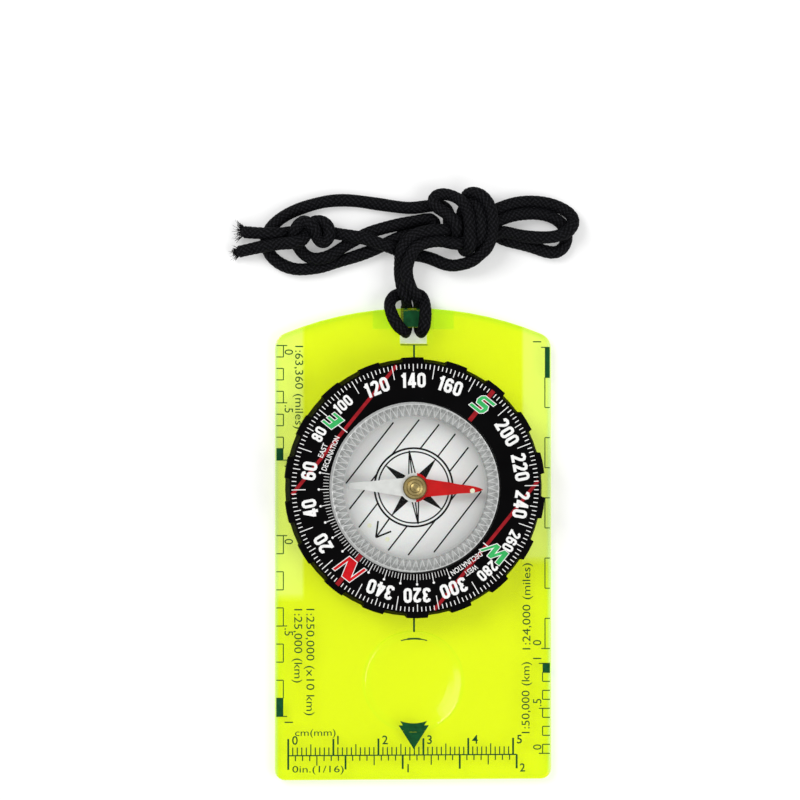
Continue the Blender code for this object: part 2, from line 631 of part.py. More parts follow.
def make_lanyard():
    """Lanyard hitched round the bar: plain tubes, and one plain solid for each wound part."""
    braid = finish_of("black braid", (0.012, 0.012, 0.014), 0.85)
    cord_tube("lanyard_bight", BIGHT_POINTS, braid, spacing=1.9)
    cord_tube("lanyard_left_leg", LEFT_LEG_POINTS, braid, spacing=1.9)
    cord_tube("lanyard_right_leg", RIGHT_LEG_POINTS, braid, spacing=1.9)
    cord_tube("lanyard_left_loop", LEFT_LOOP_POINTS, braid)
    cord_tube("lanyard_upper_lead", UPPER_LEAD_POINTS, braid)
    cord_tube("lanyard_lower_lead", LOWER_LEAD_POINTS, braid)
    cord_tube("lanyard_upper_tail", UPPER_TAIL_POINTS, braid, spacing=3.0)
    cord_tube("lanyard_lower_tail", LOWER_TAIL_POINTS, braid, spacing=3.0)
    slab("lanyard_big_knot", BIG_KNOT_OUTLINE, 0.1, KNOT_HEIGHT, braid, bevel=1.2)
    slab("lanyard_right_loops", RIGHT_LOOPS_OUTLINE, 0.1, LOOPS_HEIGHT, braid, bevel=1.2)
    slab("lanyard_end_knot", END_KNOT_OUTLINE, 0.1, END_KNOT_HEIGHT, braid, bevel=1.2)


def main():
    """Build the whole compass."""
    clear_scene()
    dial = bpy.data.objects.new("dial_axis", None)
    bpy.context.scene.collection.objects.link(dial)
    dial.location = (0.0, DIAL_Y * MM, 0.0)
    make_baseplate()
    make_bezel(dial)
    make_capsule(dial)
    make_pivot(dial)
    make_needle(dial)
    make_lanyard()


main()
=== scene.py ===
"""Looks of the baseplate compass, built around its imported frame. Metres, +Z up, plate along Y."""

import math

import bpy
import numpy as np
from mathutils import Matrix, Vector
from mathutils.bvhtree import BVHTree


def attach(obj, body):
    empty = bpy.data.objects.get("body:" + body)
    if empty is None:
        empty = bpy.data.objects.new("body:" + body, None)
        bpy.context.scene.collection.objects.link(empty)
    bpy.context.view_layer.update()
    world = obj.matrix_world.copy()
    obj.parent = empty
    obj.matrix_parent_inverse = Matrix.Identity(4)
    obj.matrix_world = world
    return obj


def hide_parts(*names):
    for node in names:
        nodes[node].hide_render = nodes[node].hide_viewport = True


MM = 0.001
AXIS = (0.0, 12.5)  # the dial's axis on the plate, mm
PLATE_TOP = 2.2
RING_TOP = 8.2
DISC_TOP = 2.8
BLADE_TOP = 6.05
CENTRE = np.array(AXIS)
NORTH = 231.0  # direction of the ring's north, degrees from +X
CROWN_RIBS = 72

CORD = 2.7  # the cord's thickness
ON_FLOOR = 1.35  # height of a route point that gives none
FREE_HALF = 1.3  # half thickness of a route point that gives none
BRAID_HALF = 1.33  # middle radius of the braid's surface
WEAVE = 0.19  # how far the strands stand out of it
STRAND_PAIRS = 4.0
PITCH = 2.5  # length over which a strand meets its next one
AROUND = 40  # points round the cord
LINE_STEP = 0.2  # distance between the cord's rings
HITCH_HELD = 42  # points at the start of a coarse line that stay where they are
SQUASHED = 0.93  # how close two runs of cord may come, in thicknesses
CORD_LOWEST = 1.32  # lowest and highest centreline away from the hitch
CORD_HIGHEST = 8.6

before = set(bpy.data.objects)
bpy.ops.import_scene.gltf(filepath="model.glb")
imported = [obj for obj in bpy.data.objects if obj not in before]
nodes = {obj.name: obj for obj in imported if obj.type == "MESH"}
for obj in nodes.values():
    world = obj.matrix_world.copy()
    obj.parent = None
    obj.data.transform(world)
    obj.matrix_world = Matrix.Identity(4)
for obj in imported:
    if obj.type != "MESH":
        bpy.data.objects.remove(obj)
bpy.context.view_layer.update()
scene = bpy.context.scene


# ---- camera and light


def make_camera():
    """A long lens above, leaning a few degrees to the left of straight down."""
    data = bpy.data.cameras.new("view")
    data.lens = 151.9
    data.sensor_width = 36.0
    data.clip_end = 20.0
    camera = bpy.data.objects.new("view", data)
    aim = Vector((-3.0 * MM, 31.9 * MM, PLATE_TOP * MM))
    lean = Vector((-0.066, -0.012, 1.0)).normalized()
    camera.location = aim + lean * 750 * MM
    right = Vector((0.0, 1.0, 0.0)).cross(lean).normalized()
    camera.rotation_euler = Matrix((right, lean.cross(right), lean)).transposed().to_euler()
    scene.collection.objects.link(camera)
    scene.camera = camera


def area_light(name, place, size, watts):
    """A square softbox at place, facing the object."""
    data = bpy.data.lights.new(name, "AREA")
    data.size = size
    data.energy = watts
    light = bpy.data.objects.new(name, data)
    light.location = place
    aim = Vector((0.0, 0.02, 0.0)) - Vector(place)
    light.rotation_euler = aim.to_track_quat("-Z", "Y").to_euler()
    scene.collection.objects.link(light)


def make_lights():
    world = bpy.data.worlds.new("studio")
    world.use_nodes = True
    background = world.node_tree.nodes["Background"]
    background.inputs["Color"].default_value = (1.0, 1.0, 1.0, 1.0)
    background.inputs["Strength"].default_value = 0.62
    scene.world = world
    area_light("key", (-0.42, 0.34, 0.62), 0.36, 3.0)
    area_light("fill", (0.5, -0.22, 0.6), 0.44, 2.35)
    scene.view_settings.view_transform = "Standard"


def make_floor():
    mesh = bpy.data.meshes.new("floor")
    corners = [(-3, -3, -0.0002), (3, -3, -0.0002), (3, 3, -0.0002), (-3, 3, -0.0002)]
    mesh.from_pydata(corners, [], [(0, 1, 2, 3)])
    floor = bpy.data.objects.new("floor", mesh)
    scene.collection.objects.link(floor)
    return floor


# ---- materials


class Shade:
    """A material being built: small calls that add and link its nodes."""

    def __init__(self, name):
        self.material = bpy.data.materials.new(name)
        self.material.use_nodes = True
        self.tree = self.material.node_tree
        self.surface = self.tree.nodes["Principled BSDF"]
        self.output = self.tree.nodes["Material Output"]

    def node(self, kind, **settings):
        made = self.tree.nodes.new("ShaderNode" + kind)
        for key, value in settings.items():
            setattr(made, key, value)
        return made

    def link(self, start, end):
        self.tree.links.new(start, end)

    def place(self):
        """Object coordinates, which ride with the piece."""
        return self.node("TexCoord").outputs["Object"]

    def noise(self, scale, detail=3.0, rough=0.5, stretch=(1, 1, 1)):
        """Fractal noise at scale per metre."""
        source = self.place()
        if stretch != (1, 1, 1):
            mapping = self.node("Mapping")
            self.put(mapping, Scale=stretch)
            self.link(source, mapping.inputs["Vector"])
            source = mapping.outputs["Vector"]
        made = self.node("TexNoise")
        self.put(made, Scale=scale, Detail=detail, Roughness=rough)
        self.link(source, made.inputs["Vector"])
        return made.outputs["Fac"]

    def ramp(self, value, stops):
        """A colour ramp over (position, colour) stops."""
        made = self.node("ValToRGB")
        elements = made.color_ramp.elements
        while len(elements) < len(stops):
            elements.new(0.5)
        for element, (position, colour) in zip(elements, stops):
            element.position = position
            element.color = (*colour, 1.0)
        self.link(value, made.inputs["Fac"])
        return made.outputs["Color"]

    def feed(self, socket, value):
        """A number or colour on a socket, or a link from another socket into it."""
        if isinstance(value, tuple):
            value = (*value, 1.0)
        if isinstance(value, (float, tuple)):
            socket.default_value = value
        else:
            self.link(value, socket)

    def math(self, operation, *values, clamp=False):
        made = self.node("Math", operation=operation, use_clamp=clamp)
        for socket, value in zip(made.inputs, values):
            self.feed(socket, value)
        return made.outputs[0]

    def plus(self, first, second):
        return self.math("ADD", first, second)

    def minus(self, first, second, clamp=False):
        return self.math("SUBTRACT", first, second, clamp=clamp)

    def times(self, first, second, clamp=False):
        return self.math("MULTIPLY", first, second, clamp=clamp)

    def split(self, source=None):
        made = self.node("SeparateXYZ")
        self.link(source or self.place(), made.inputs[0])
        return made.outputs

    def onset(self, value, start, sharp):
        """0 up to start, then rising to 1 with slope sharp."""
        return self.times(self.minus(value, start), sharp, clamp=True)

    def away(self, value, centre, sharp):
        """0 at centre, rising to 1 on both sides with slope sharp."""
        off = self.math("ABSOLUTE", self.minus(value, centre))
        return self.times(off, sharp, clamp=True)

    def hypot(self, x, y):
        squares = self.plus(self.times(x, x), self.times(y, y))
        return self.math("SQRT", squares)

    def mix(self, factor, first, second):
        """A colour mix. first and second are colours or sockets."""
        made = self.node("Mix", data_type="RGBA")
        self.feed(made.inputs["Factor"], factor)
        self.feed(made.inputs[6], first)
        self.feed(made.inputs[7], second)
        return made.outputs[2]

    def polar(self):
        """Angle and distance from the dial's axis."""
        x, y, _ = self.split()
        y = self.minus(y, AXIS[1] * MM)
        return self.math("ARCTAN2", y, x), self.hypot(x, y)

    def layers(self, below, above, share):
        """Two shaders in one. share is how much of the upper one shows."""
        both = self.node("MixShader")
        self.feed(both.inputs["Fac"], share)
        self.link(below.outputs[0], both.inputs[1])
        self.link(above.outputs[0], both.inputs[2])
        return both

    def see_through(self, tint, share, head_on, rough, waves):
        """Clear plastic: the surface shader shows by share over a tinted view through it, under a gloss
        of strength head_on face to face that grows at a slant."""
        clear = self.node("BsdfTransparent")
        self.feed(clear.inputs["Color"], tint)
        inside = self.layers(clear, self.surface, share)
        gloss = self.node("BsdfGlossy")
        self.put(gloss, Color=(1.0, 1.0, 1.0, 1.0), Roughness=rough)
        self.link(self.bump(self.noise(waves, 2.0), 0.05, 0.0002), gloss.inputs["Normal"])
        slant = self.times(self.math("POWER", self.node("LayerWeight").outputs["Facing"], 5.0), 0.8)
        both = self.layers(inside, gloss, self.plus(slant, head_on))
        self.link(both.outputs[0], self.output.inputs["Surface"])

    def bump(self, height, strength, distance):
        made = self.node("Bump")
        self.put(made, Strength=strength, Distance=distance)
        self.link(height, made.inputs["Height"])
        return made.outputs["Normal"]

    def put(self, made, **values):
        """Plain values on a node's sockets, by socket name with spaces as underscores."""
        for key, value in values.items():
            made.inputs[key.replace("_", " ")].default_value = value

    def set(self, **values):
        """Plain values on the surface shader."""
        self.put(self.surface, **values)

    def colour(self, source):
        self.link(source, self.surface.inputs["Base Color"])

    def grain(self, scale, strength, distance):
        """Fine bumps on the surface shader."""
        self.link(self.bump(self.noise(scale, 2.0), strength, distance), self.surface.inputs["Normal"])

    def drift(self, scale, detail, dark, light, low=0.3, high=0.7):
        """A colour that drifts between dark and light over the surface."""
        return self.ramp(self.noise(scale, detail), [(low, dark), (high, light)])

    def wear(self, low, high, scale):
        """Roughness that varies a little over the surface."""
        made = self.node("MapRange")
        self.put(made, To_Min=low, To_Max=high)
        self.link(self.noise(scale, 4.0), made.inputs["Value"])
        self.link(made.outputs["Result"], self.surface.inputs["Roughness"])


def plate_material():
    """Clear fluorescent plastic: see-through and tinted, glossy, with a painted glow at its cut edges and
    painted refraction at its lens rim.
    """
    m = Shade("fluorescent_plate")
    x, y, _ = m.split()
    across = m.math("ABSOLUTE", x)
    # A paler band along each long side, which starts lower on the left, and a painted edge glow: a paler
    # line at the very edge.
    left = m.math("LESS_THAN", x, 0.0)
    foot = m.plus(m.times(left, -0.0082), -0.0048)
    band = m.times(m.onset(across, 0.0240, 1200.0), m.onset(y, foot, 500.0))
    edge = m.onset(across, 0.0298, 1600.0)
    up = m.split(m.node("NewGeometry").outputs["Normal"])[2]
    wall = m.minus(1.0, m.math("ABSOLUTE", up), clamp=True)
    # Painted refraction round the lens: a ring at its rim, with a fainter ring inside it.
    from_lens = m.hypot(x, m.plus(y, 0.0306))
    rim = m.minus(1.0, m.away(from_lens, 0.01105, 2500.0))
    inner = m.times(m.minus(1.0, m.away(from_lens, 0.0100, 1600.0)), 0.45)
    rim = m.math("MAXIMUM", rim, inner)
    # Greener on the raised pad round the bar, and along the bowed end.
    pad = m.times(m.math("LESS_THAN", across, 0.009), m.math("GREATER_THAN", y, 0.0477))
    bow = m.onset(m.hypot(x, m.plus(y, 0.02265)), 0.0737, 900.0)
    tint = m.drift(26.0, 2.0, (0.905, 0.948, 0.09), (0.922, 0.962, 0.12))
    tint = m.mix(band, tint, (0.935, 0.990, 0.52))
    tint = m.mix(m.times(edge, 0.8), tint, (0.82, 0.965, 0.74))
    tint = m.mix(m.times(pad, 0.45), tint, (0.70, 0.94, 0.10))
    tint = m.mix(m.times(bow, 0.5), tint, (0.74, 0.95, 0.20))
    tint = m.mix(m.times(rim, 0.55), tint, (0.86, 0.97, 0.13))
    # Painted glow, brighter on the cut walls and in the paler bands; it is both the surface colour and its
    # emission.
    glow = m.mix(wall, (0.78, 0.95, 0.0), (0.55, 1.0, 0.05))
    glow = m.mix(band, glow, (0.86, 0.98, 0.12))
    m.colour(glow)
    m.link(glow, m.surface.inputs["Emission Color"])
    m.set(Emission_Strength=0.35, IOR=1.49)
    m.wear(0.05, 0.1, 60.0)
    m.see_through(tint, m.plus(m.times(wall, 0.5), 0.07), 0.02, 0.12, 90.0)
    return m.material


def moulded(name, dark, light, rough, specular=0.5):
    """Moulded plastic with a fine spark-eroded grain and slight colour drift."""
    m = Shade(name)
    m.colour(m.drift(140.0, 4.0, dark, light, 0.3, 0.75))
    m.set(Specular_IOR_Level=specular)
    m.wear(rough - 0.06, rough + 0.08, 420.0)
    m.grain(2600.0, 0.15, 0.00004)
    return m.material


def ink(name, dark, light, rough=0.42, strength=0.0):
    """A printed or painted film with slight patchiness and a soft edge sheen."""
    m = Shade(name)
    m.colour(m.drift(900.0, 4.0, dark, light, 0.32, 0.68))
    m.wear(rough - 0.08, rough + 0.1, 1500.0)
    m.grain(5200.0, 0.12, 0.00002)
    m.set(Specular_IOR_Level=0.12)
    if strength:
        m.set(Emission_Color=(*light, 1.0), Emission_Strength=strength)
    return m.material


def metal(name, dark, light, rough, grooves):
    """Turned metal: fine rings about the dial's axis in the bump, tarnish in the colour."""
    m = Shade(name)
    shift = m.node("Mapping")
    m.put(shift, Location=(0.0, -AXIS[1] * MM, 0.0))
    m.link(m.place(), shift.inputs["Vector"])
    rings = m.node("TexWave", wave_type="RINGS", rings_direction="Z")
    m.put(rings, Scale=grooves, Distortion=0.4)
    m.link(shift.outputs["Vector"], rings.inputs["Vector"])
    m.colour(m.drift(700.0, 4.0, dark, light))
    m.set(Metallic=1.0)
    m.wear(rough - 0.06, rough + 0.1, 900.0)
    m.link(m.bump(rings.outputs["Fac"], 0.25, 0.00003), m.surface.inputs["Normal"])
    return m.material


def clear_material(name, ribbed):
    """Clear moulded plastic: a see-through window, and a ribbed skirt with painted highlights in a zigzag
    and painted shade on its teeth.
    """
    m = Shade(name)
    m.set(IOR=1.49, Specular_IOR_Level=0.6)
    body = m.drift(500.0, 3.0, (0.40, 0.41, 0.40), (0.52, 0.53, 0.52), 0.35)
    share = 0.004
    if ribbed:
        # In the skirt a grey half-solid layer stands in for the view through the facets, with painted
        # highlights along a zigzag and at the outer rim, and painted shade deepening across each tooth.
        angle, radius = m.polar()
        out = m.times(m.minus(radius, 0.0159), 1.0 / 0.0025)
        tooth = m.math("PINGPONG", m.times(angle, CROWN_RIBS / math.pi), 1.0)
        off_highlight = m.times(m.away(tooth, out, 5.0), m.away(radius, 0.0184, 5500.0))
        shade = m.mix(m.times(tooth, 0.55), body, (0.27, 0.28, 0.28))
        body = m.mix(off_highlight, (0.80, 0.81, 0.80), shade)
        share = m.times(m.onset(radius, 0.01575, 4000.0), 0.5)
    m.colour(body)
    m.wear(0.08, 0.18, 300.0)
    m.see_through((0.985, 0.99, 0.985), share, 0.004, 0.06, 220.0)
    return m.material


def milky_material():
    """Milky disc on the capsule's floor, with painted shade darkening it towards its rim and a faint
    painted glow.
    """
    m = Shade("milky_disc")
    # Painted shade: a little darker towards the rim.
    share = m.times(m.polar()[1], 1.0 / 0.017)
    body = m.ramp(share, [(0.0, (0.80, 0.80, 0.80)), (0.84, (0.76, 0.76, 0.76)), (1.0, (0.55, 0.56, 0.55))])
    body = m.mix(m.times(m.noise(180.0, 4.0), 0.10), body, (0.62, 0.63, 0.63))
    m.colour(body)
    # A faint painted glow in the disc's own colour.
    m.link(body, m.surface.inputs["Emission Color"])
    m.set(Subsurface_Weight=0.15, Subsurface_Scale=0.001, Emission_Strength=0.1)
    m.wear(0.28, 0.4, 500.0)
    m.grain(3000.0, 0.08, 0.00003)
    return m.material


def needle_material():
    """Lacquered blade: red from just north of the hub, white on the other half."""
    m = Shade("needle_lacquer")
    x, y, _ = m.split()
    lean = m.times(m.minus(y, AXIS[1] * MM), -0.033)
    north = m.math("GREATER_THAN", m.plus(x, lean), 0.0004)
    cloud = m.noise(600.0, 3.0)
    red = m.ramp(cloud, [(0.3, (0.46, 0.001, 0.002)), (0.7, (0.58, 0.003, 0.004))])
    white = m.ramp(cloud, [(0.3, (0.62, 0.62, 0.61)), (0.7, (0.72, 0.72, 0.71))])
    m.colour(m.mix(north, white, red))
    m.set(Coat_Weight=0.08, Coat_Roughness=0.2, Specular_IOR_Level=0.15)
    m.wear(0.28, 0.42, 900.0)
    m.grain(2400.0, 0.1, 0.00003)
    return m.material


def braid_material():
    """Black polyester braid: dark, a little sheen, fibres along the strands."""
    m = Shade("black_braid")
    fibre = m.noise(5200.0, 3.0, 0.6, (1.0, 1.0, 0.45))
    strand = m.node("Attribute", attribute_name="strand").outputs["Fac"]
    # Painted shade in the seams between strands and a painted highlight on their crests, by how far each
    # point stands out.
    seam_shade, flank, crest_highlight = (0.0002, 0.0002, 0.0003), (0.0013, 0.0013, 0.0018), (0.0130, 0.0132, 0.0155)
    body = m.ramp(strand, [(0.2, seam_shade), (0.78, flank), (1.0, crest_highlight)])
    body = m.mix(m.ramp(fibre, [(0.5, (0, 0, 0)), (0.75, (0.6, 0.6, 0.6))]), body, (0.014, 0.014, 0.017))
    m.colour(body)
    m.set(Sheen_Weight=0.01, Sheen_Roughness=0.5, Sheen_Tint=(0.5, 0.52, 0.6, 1.0), Specular_IOR_Level=0.05)
    m.wear(0.55, 0.75, 2400.0)
    m.link(m.bump(fibre, 0.35, 0.00006), m.surface.inputs["Normal"])
    return m.material


def floor_material():
    m = Shade("pale_floor")
    m.colour(m.drift(6.0, 3.0, (0.66, 0.66, 0.66), (0.68, 0.68, 0.68)))
    m.set(Roughness=0.9, Specular_IOR_Level=0.1)
    m.set(Emission_Color=(1.0, 1.0, 1.0, 1.0), Emission_Strength=0.3)
    return m.material


# ---- lanyard routes, mm

# Half of the hitch round the bar: over the plate, down the slot, under the bar and up again.
# Points are x, y, height, and half thickness where the cord is squeezed.
LEFT_HITCH = [
    (-1.2, 55.6, 1.4), (-2.7, 55.55, 1.4), (-4.3, 54.9, 2.0), (-5.35, 53.4, 3.2), (-5.2, 51.7, 4.4),
    (-4.6, 50.0, 4.75), (-3.7, 48.5, 4.6), (-2.6, 47.4, 4.0), (-1.9, 46.95, 3.2, 1.25),
    (-1.75, 46.8, 2.0, 1.1), (-1.65, 46.95, 1.05, 0.8), (-1.5, 47.8, 0.76, 0.62), (-1.4, 50.0, 0.74, 0.6),
    (-1.4, 52.4, 0.8, 0.64), (-1.55, 53.5, 2.1, 0.95), (-1.85, 54.8, 3.9), (-2.6, 56.8, 4.3),
    (-3.0, 59.5, 3.2),
]
RIGHT_HITCH = [
    (-1.2, 55.6, 1.4), (0.3, 55.55, 1.4), (1.7, 55.0, 2.0), (2.35, 53.7, 3.2), (2.5, 52.1, 4.4),
    (2.45, 50.4, 4.75), (2.3, 48.8, 4.7), (2.05, 47.5, 4.2), (1.8, 46.95, 3.2, 1.25),
    (1.7, 46.8, 2.0, 1.1), (1.6, 46.95, 1.05, 0.8), (1.45, 47.8, 0.76, 0.62), (1.35, 50.0, 0.74, 0.6),
    (1.3, 52.4, 0.8, 0.64), (1.1, 53.5, 2.1, 0.95), (0.5, 54.8, 4.1), (-0.9, 56.8, 5.5),
    (-1.7, 59.5, 5.5),
]
# The first cord: outer arch, core of the knot, outer turn of the right loops, two wraps, left bump,
# round the left loop from above, back inside the knot, upper lead, down under the other cord, the end
# knot's overhand turn, lower tail.
FIRST_ROUTE = [
    (-3.1, 62.0, 3.4), (-3.1, 64.5, 4.4), (-2.1, 66.6, 5.2), (-0.2, 68.3, 5.6), (2.4, 69.1, 5.8),
    (5.0, 69.5, 5.6), (7.4, 69.4, 4.9), (9.3, 69.0, 4.2), (12.2, 70.4, 4.0), (15.6, 72.6, 4.0),
    (18.6, 74.4, 3.2), (21.2, 75.4, 1.9), (23.8, 76.1, 1.4), (26.3, 76.3), (29.4, 76.0),
    (32.8, 75.0, 1.4), (35.3, 73.5, 1.6), (36.2, 71.8, 2.0), (35.3, 70.2, 2.8), (33.6, 68.8, 3.7),
    (31.0, 68.1, 4.0), (28.0, 68.0, 4.0), (24.5, 68.3, 3.8), (21.0, 69.1, 3.2), (18.0, 69.6, 2.0),
    (15.4, 68.0, 1.4), (14.4, 66.0, 1.9), (14.2, 65.0, 3.4), (14.5, 66.4, 5.6), (14.85, 69.0, 6.8),
    (14.9, 72.2, 7.0), (14.4, 75.0, 6.2), (13.0, 76.4, 4.4), (11.3, 75.8, 2.2), (10.7, 73.0),
    (10.6, 69.4), (10.7, 65.9, 1.6), (11.3, 64.4, 3.0), (12.0, 65.6, 5.4), (12.3, 68.6, 6.9),
    (12.2, 72.0, 7.0), (11.6, 74.8, 6.2), (10.2, 76.4, 4.8), (8.4, 77.4, 3.4), (6.4, 77.9, 2.6),
    (4.5, 77.3, 2.8), (3.9, 75.6, 3.8), (5.6, 74.1, 4.7), (8.3, 72.5, 5.0), (9.8, 69.8, 4.5),
    (10.3, 67.0, 3.2), (9.2, 67.6, 1.6), (8.2, 70.2), (8.1, 73.2), (7.3, 75.3), (4.4, 75.3), (0.0, 74.6),
    (-3.0, 74.8), (-8.6, 75.6), (-14.1, 76.3), (-19.7, 76.0), (-26.3, 74.0), (-30.4, 71.6), (-32.5, 69.0),
    (-32.9, 66.2), (-31.7, 63.7), (-29.2, 61.8), (-26.0, 60.8), (-22.6, 61.1), (-19.7, 61.9),
    (-15.2, 63.1), (-11.4, 64.3), (-7.9, 65.7), (-4.9, 67.2), (-2.0, 68.6), (0.8, 69.4), (3.4, 69.6),
    (5.2, 70.4), (5.2, 71.8, 1.4), (3.6, 72.4, 1.5), (1.5, 71.8, 1.8), (-1.5, 71.3, 2.2),
    (-5.6, 70.4, 1.6), (-9.2, 69.4), (-12.2, 68.0), (-14.6, 66.6, 1.7), (-16.8, 65.0, 2.9),
    (-18.6, 63.7, 3.2), (-20.4, 62.9, 2.7), (-22.4, 62.9, 2.2), (-24.4, 64.0, 1.9), (-25.8, 66.0, 2.8),
    (-26.5, 68.6, 4.4), (-25.6, 71.0, 4.6), (-24.0, 71.6, 3.6), (-22.6, 69.6, 3.6), (-21.5, 67.2, 3.2),
    (-20.0, 66.2, 3.6), (-18.6, 68.2, 5.4), (-19.0, 70.6, 5.2), (-20.8, 71.8, 3.2), (-22.7, 71.2, 1.5),
    (-24.2, 68.2, 3.4), (-25.8, 66.8, 5.0), (-28.4, 66.5, 4.7), (-30.8, 66.3, 4.5), (-33.8, 65.8, 3.6),
    (-36.8, 65.2, 2.1), (-39.4, 64.6, 1.4),
]
# The second cord: inner arch, core, inner turn of the right loops, outermost wrap, bottom bump,
# lower lead, up over the other cord, straight through the end knot, upper tail.
SECOND_ROUTE = [
    (-1.6, 62.0, 5.6), (-1.1, 64.2, 5.7), (0.1, 66.0, 5.7), (2.4, 67.0, 5.5), (5.2, 67.3, 5.0),
    (7.4, 67.0, 4.4), (9.8, 67.5, 3.6), (12.8, 68.6, 3.9), (16.2, 70.6, 3.9), (19.2, 72.0, 3.6),
    (22.2, 73.0, 2.6), (26.0, 73.6, 1.6), (29.5, 73.3, 1.5), (32.4, 72.2, 1.5), (34.2, 70.4, 1.4),
    (34.6, 68.0, 1.4), (33.8, 65.8, 1.4), (32.1, 64.6), (29.9, 64.9), (27.6, 65.8), (24.6, 66.6, 1.5),
    (21.2, 67.4, 2.2), (18.4, 68.4, 1.6), (16.4, 70.6), (14.9, 73.4), (12.4, 75.6, 1.5),
    (11.2, 76.4, 2.4), (12.0, 77.4, 4.4), (14.2, 77.4, 5.8), (16.1, 75.8, 6.4), (17.0, 73.0, 6.7),
    (17.0, 70.0, 6.5), (16.3, 67.2, 5.6), (14.3, 64.6, 4.6), (11.8, 62.5, 3.8), (9.2, 61.6, 3.2),
    (6.8, 62.0, 2.6), (4.6, 63.2, 1.8), (2.0, 64.0, 1.4), (-0.8, 64.2, 1.5), (-2.8, 64.8, 2.4),
    (-5.2, 65.7, 3.9), (-8.2, 66.8, 4.1), (-11.6, 67.8, 4.1), (-15.0, 68.4, 3.5), (-18.2, 69.0, 2.2),
    (-21.6, 69.7, 1.4), (-24.2, 69.4, 1.5), (-27.2, 68.9, 2.8), (-29.4, 68.7, 4.1), (-32.0, 68.7, 4.2),
    (-34.4, 68.8, 3.2), (-36.6, 69.0, 2.0), (-38.2, 69.2, 1.5),
]


def smooth_line(points, step):
    """Catmull-Rom line through points of any width, resampled at even steps along its length."""
    rows = np.array(points, float)
    rows = np.vstack([2 * rows[0] - rows[1], rows, 2 * rows[-1] - rows[-2]])
    fine = []
    for i in range(1, len(rows) - 2):
        a, b, c, d = rows[i - 1 : i + 3]
        square, cube = 2 * a - 5 * b + 4 * c - d, 3 * b - 3 * c + d - a
        for t in np.arange(0.0, 1.0, 0.05):
            fine.append(0.5 * (2 * b + (c - a) * t + square * t**2 + cube * t**3))
    fine.append(rows[-2])
    return resample(np.array(fine), step)


def resample(line, step):
    """The same line with points at even steps along its length."""
    gaps = np.linalg.norm(np.diff(line[:, :3], axis=0), axis=1)
    along = np.concatenate([[0.0], np.cumsum(gaps)])
    count = max(2, round(along[-1] / step) + 1)
    wanted = np.linspace(0.0, along[-1], count)
    return np.stack([np.interp(wanted, along, column) for column in line.T], axis=1)


def cord_routes():
    """Both cords' centrelines, pushed apart where they would run through each other."""
    step = 4 * LINE_STEP
    lines = []
    for hitch, route in ((LEFT_HITCH, FIRST_ROUTE), (RIGHT_HITCH, SECOND_ROUTE)):
        points = [p + (ON_FLOOR, FREE_HALF)[len(p) - 2 :] for p in hitch + route]
        lines.append(smooth_line(points, step))
    home = [line.copy() for line in lines]
    count = len(lines[0])
    owner = np.array([0] * count + [1] * len(lines[1]))
    index = np.concatenate([np.arange(len(line)) for line in lines])
    fixed = index < HITCH_HELD
    near = (owner[:, None] == owner[None, :]) & (np.abs(index[:, None] - index[None, :]) < 6)
    near |= fixed[:, None] & fixed[None, :]
    place = np.vstack([line[:, :3] for line in lines])
    target = place.copy()
    apart = SQUASHED * CORD
    for _ in range(220):
        gap = place[:, None, :] - place[None, :, :]
        distance = np.linalg.norm(gap, axis=2) + 1e-9
        push = np.clip(apart - distance, 0.0, None)
        push[near] = 0.0
        move = (gap / distance[:, :, None] * push[:, :, None]).sum(axis=1)
        share = np.clip((push > 0).sum(axis=1), 1, None)
        place = place + 0.55 * move / share[:, None] ** 0.5 * (~fixed)[:, None]
        inner = ~fixed
        inner[[0, count - 1, count, len(place) - 1]] = False
        middle = 0.5 * (np.roll(place, 1, axis=0) + np.roll(place, -1, axis=0))
        place[inner] += 0.22 * (middle - place)[inner]
        pull = (target - place) * np.array([0.05, 0.05, 0.015])
        place[inner] += pull[inner]
        place[~fixed, 2] = np.clip(place[~fixed, 2], CORD_LOWEST, CORD_HIGHEST)
    done = []
    for line, part in zip(home, (place[:count], place[count:])):
        done.append(smooth_line(np.column_stack([part, line[:, 3]])[::2], LINE_STEP))
    return done


def ring_faces(rings, around, base=0):
    """Faces of a tube made of rings of around points each, closed at both ends."""
    faces = []
    for i in range(rings - 1):
        low, high = base + i * around, base + (i + 1) * around
        for k in range(around):
            n = (k + 1) % around
            faces.append((low + k, low + n, high + n, high + k))
    faces.append(tuple(base + k for k in range(around))[::-1])
    faces.append(tuple(base + (rings - 1) * around + k for k in range(around)))
    return faces


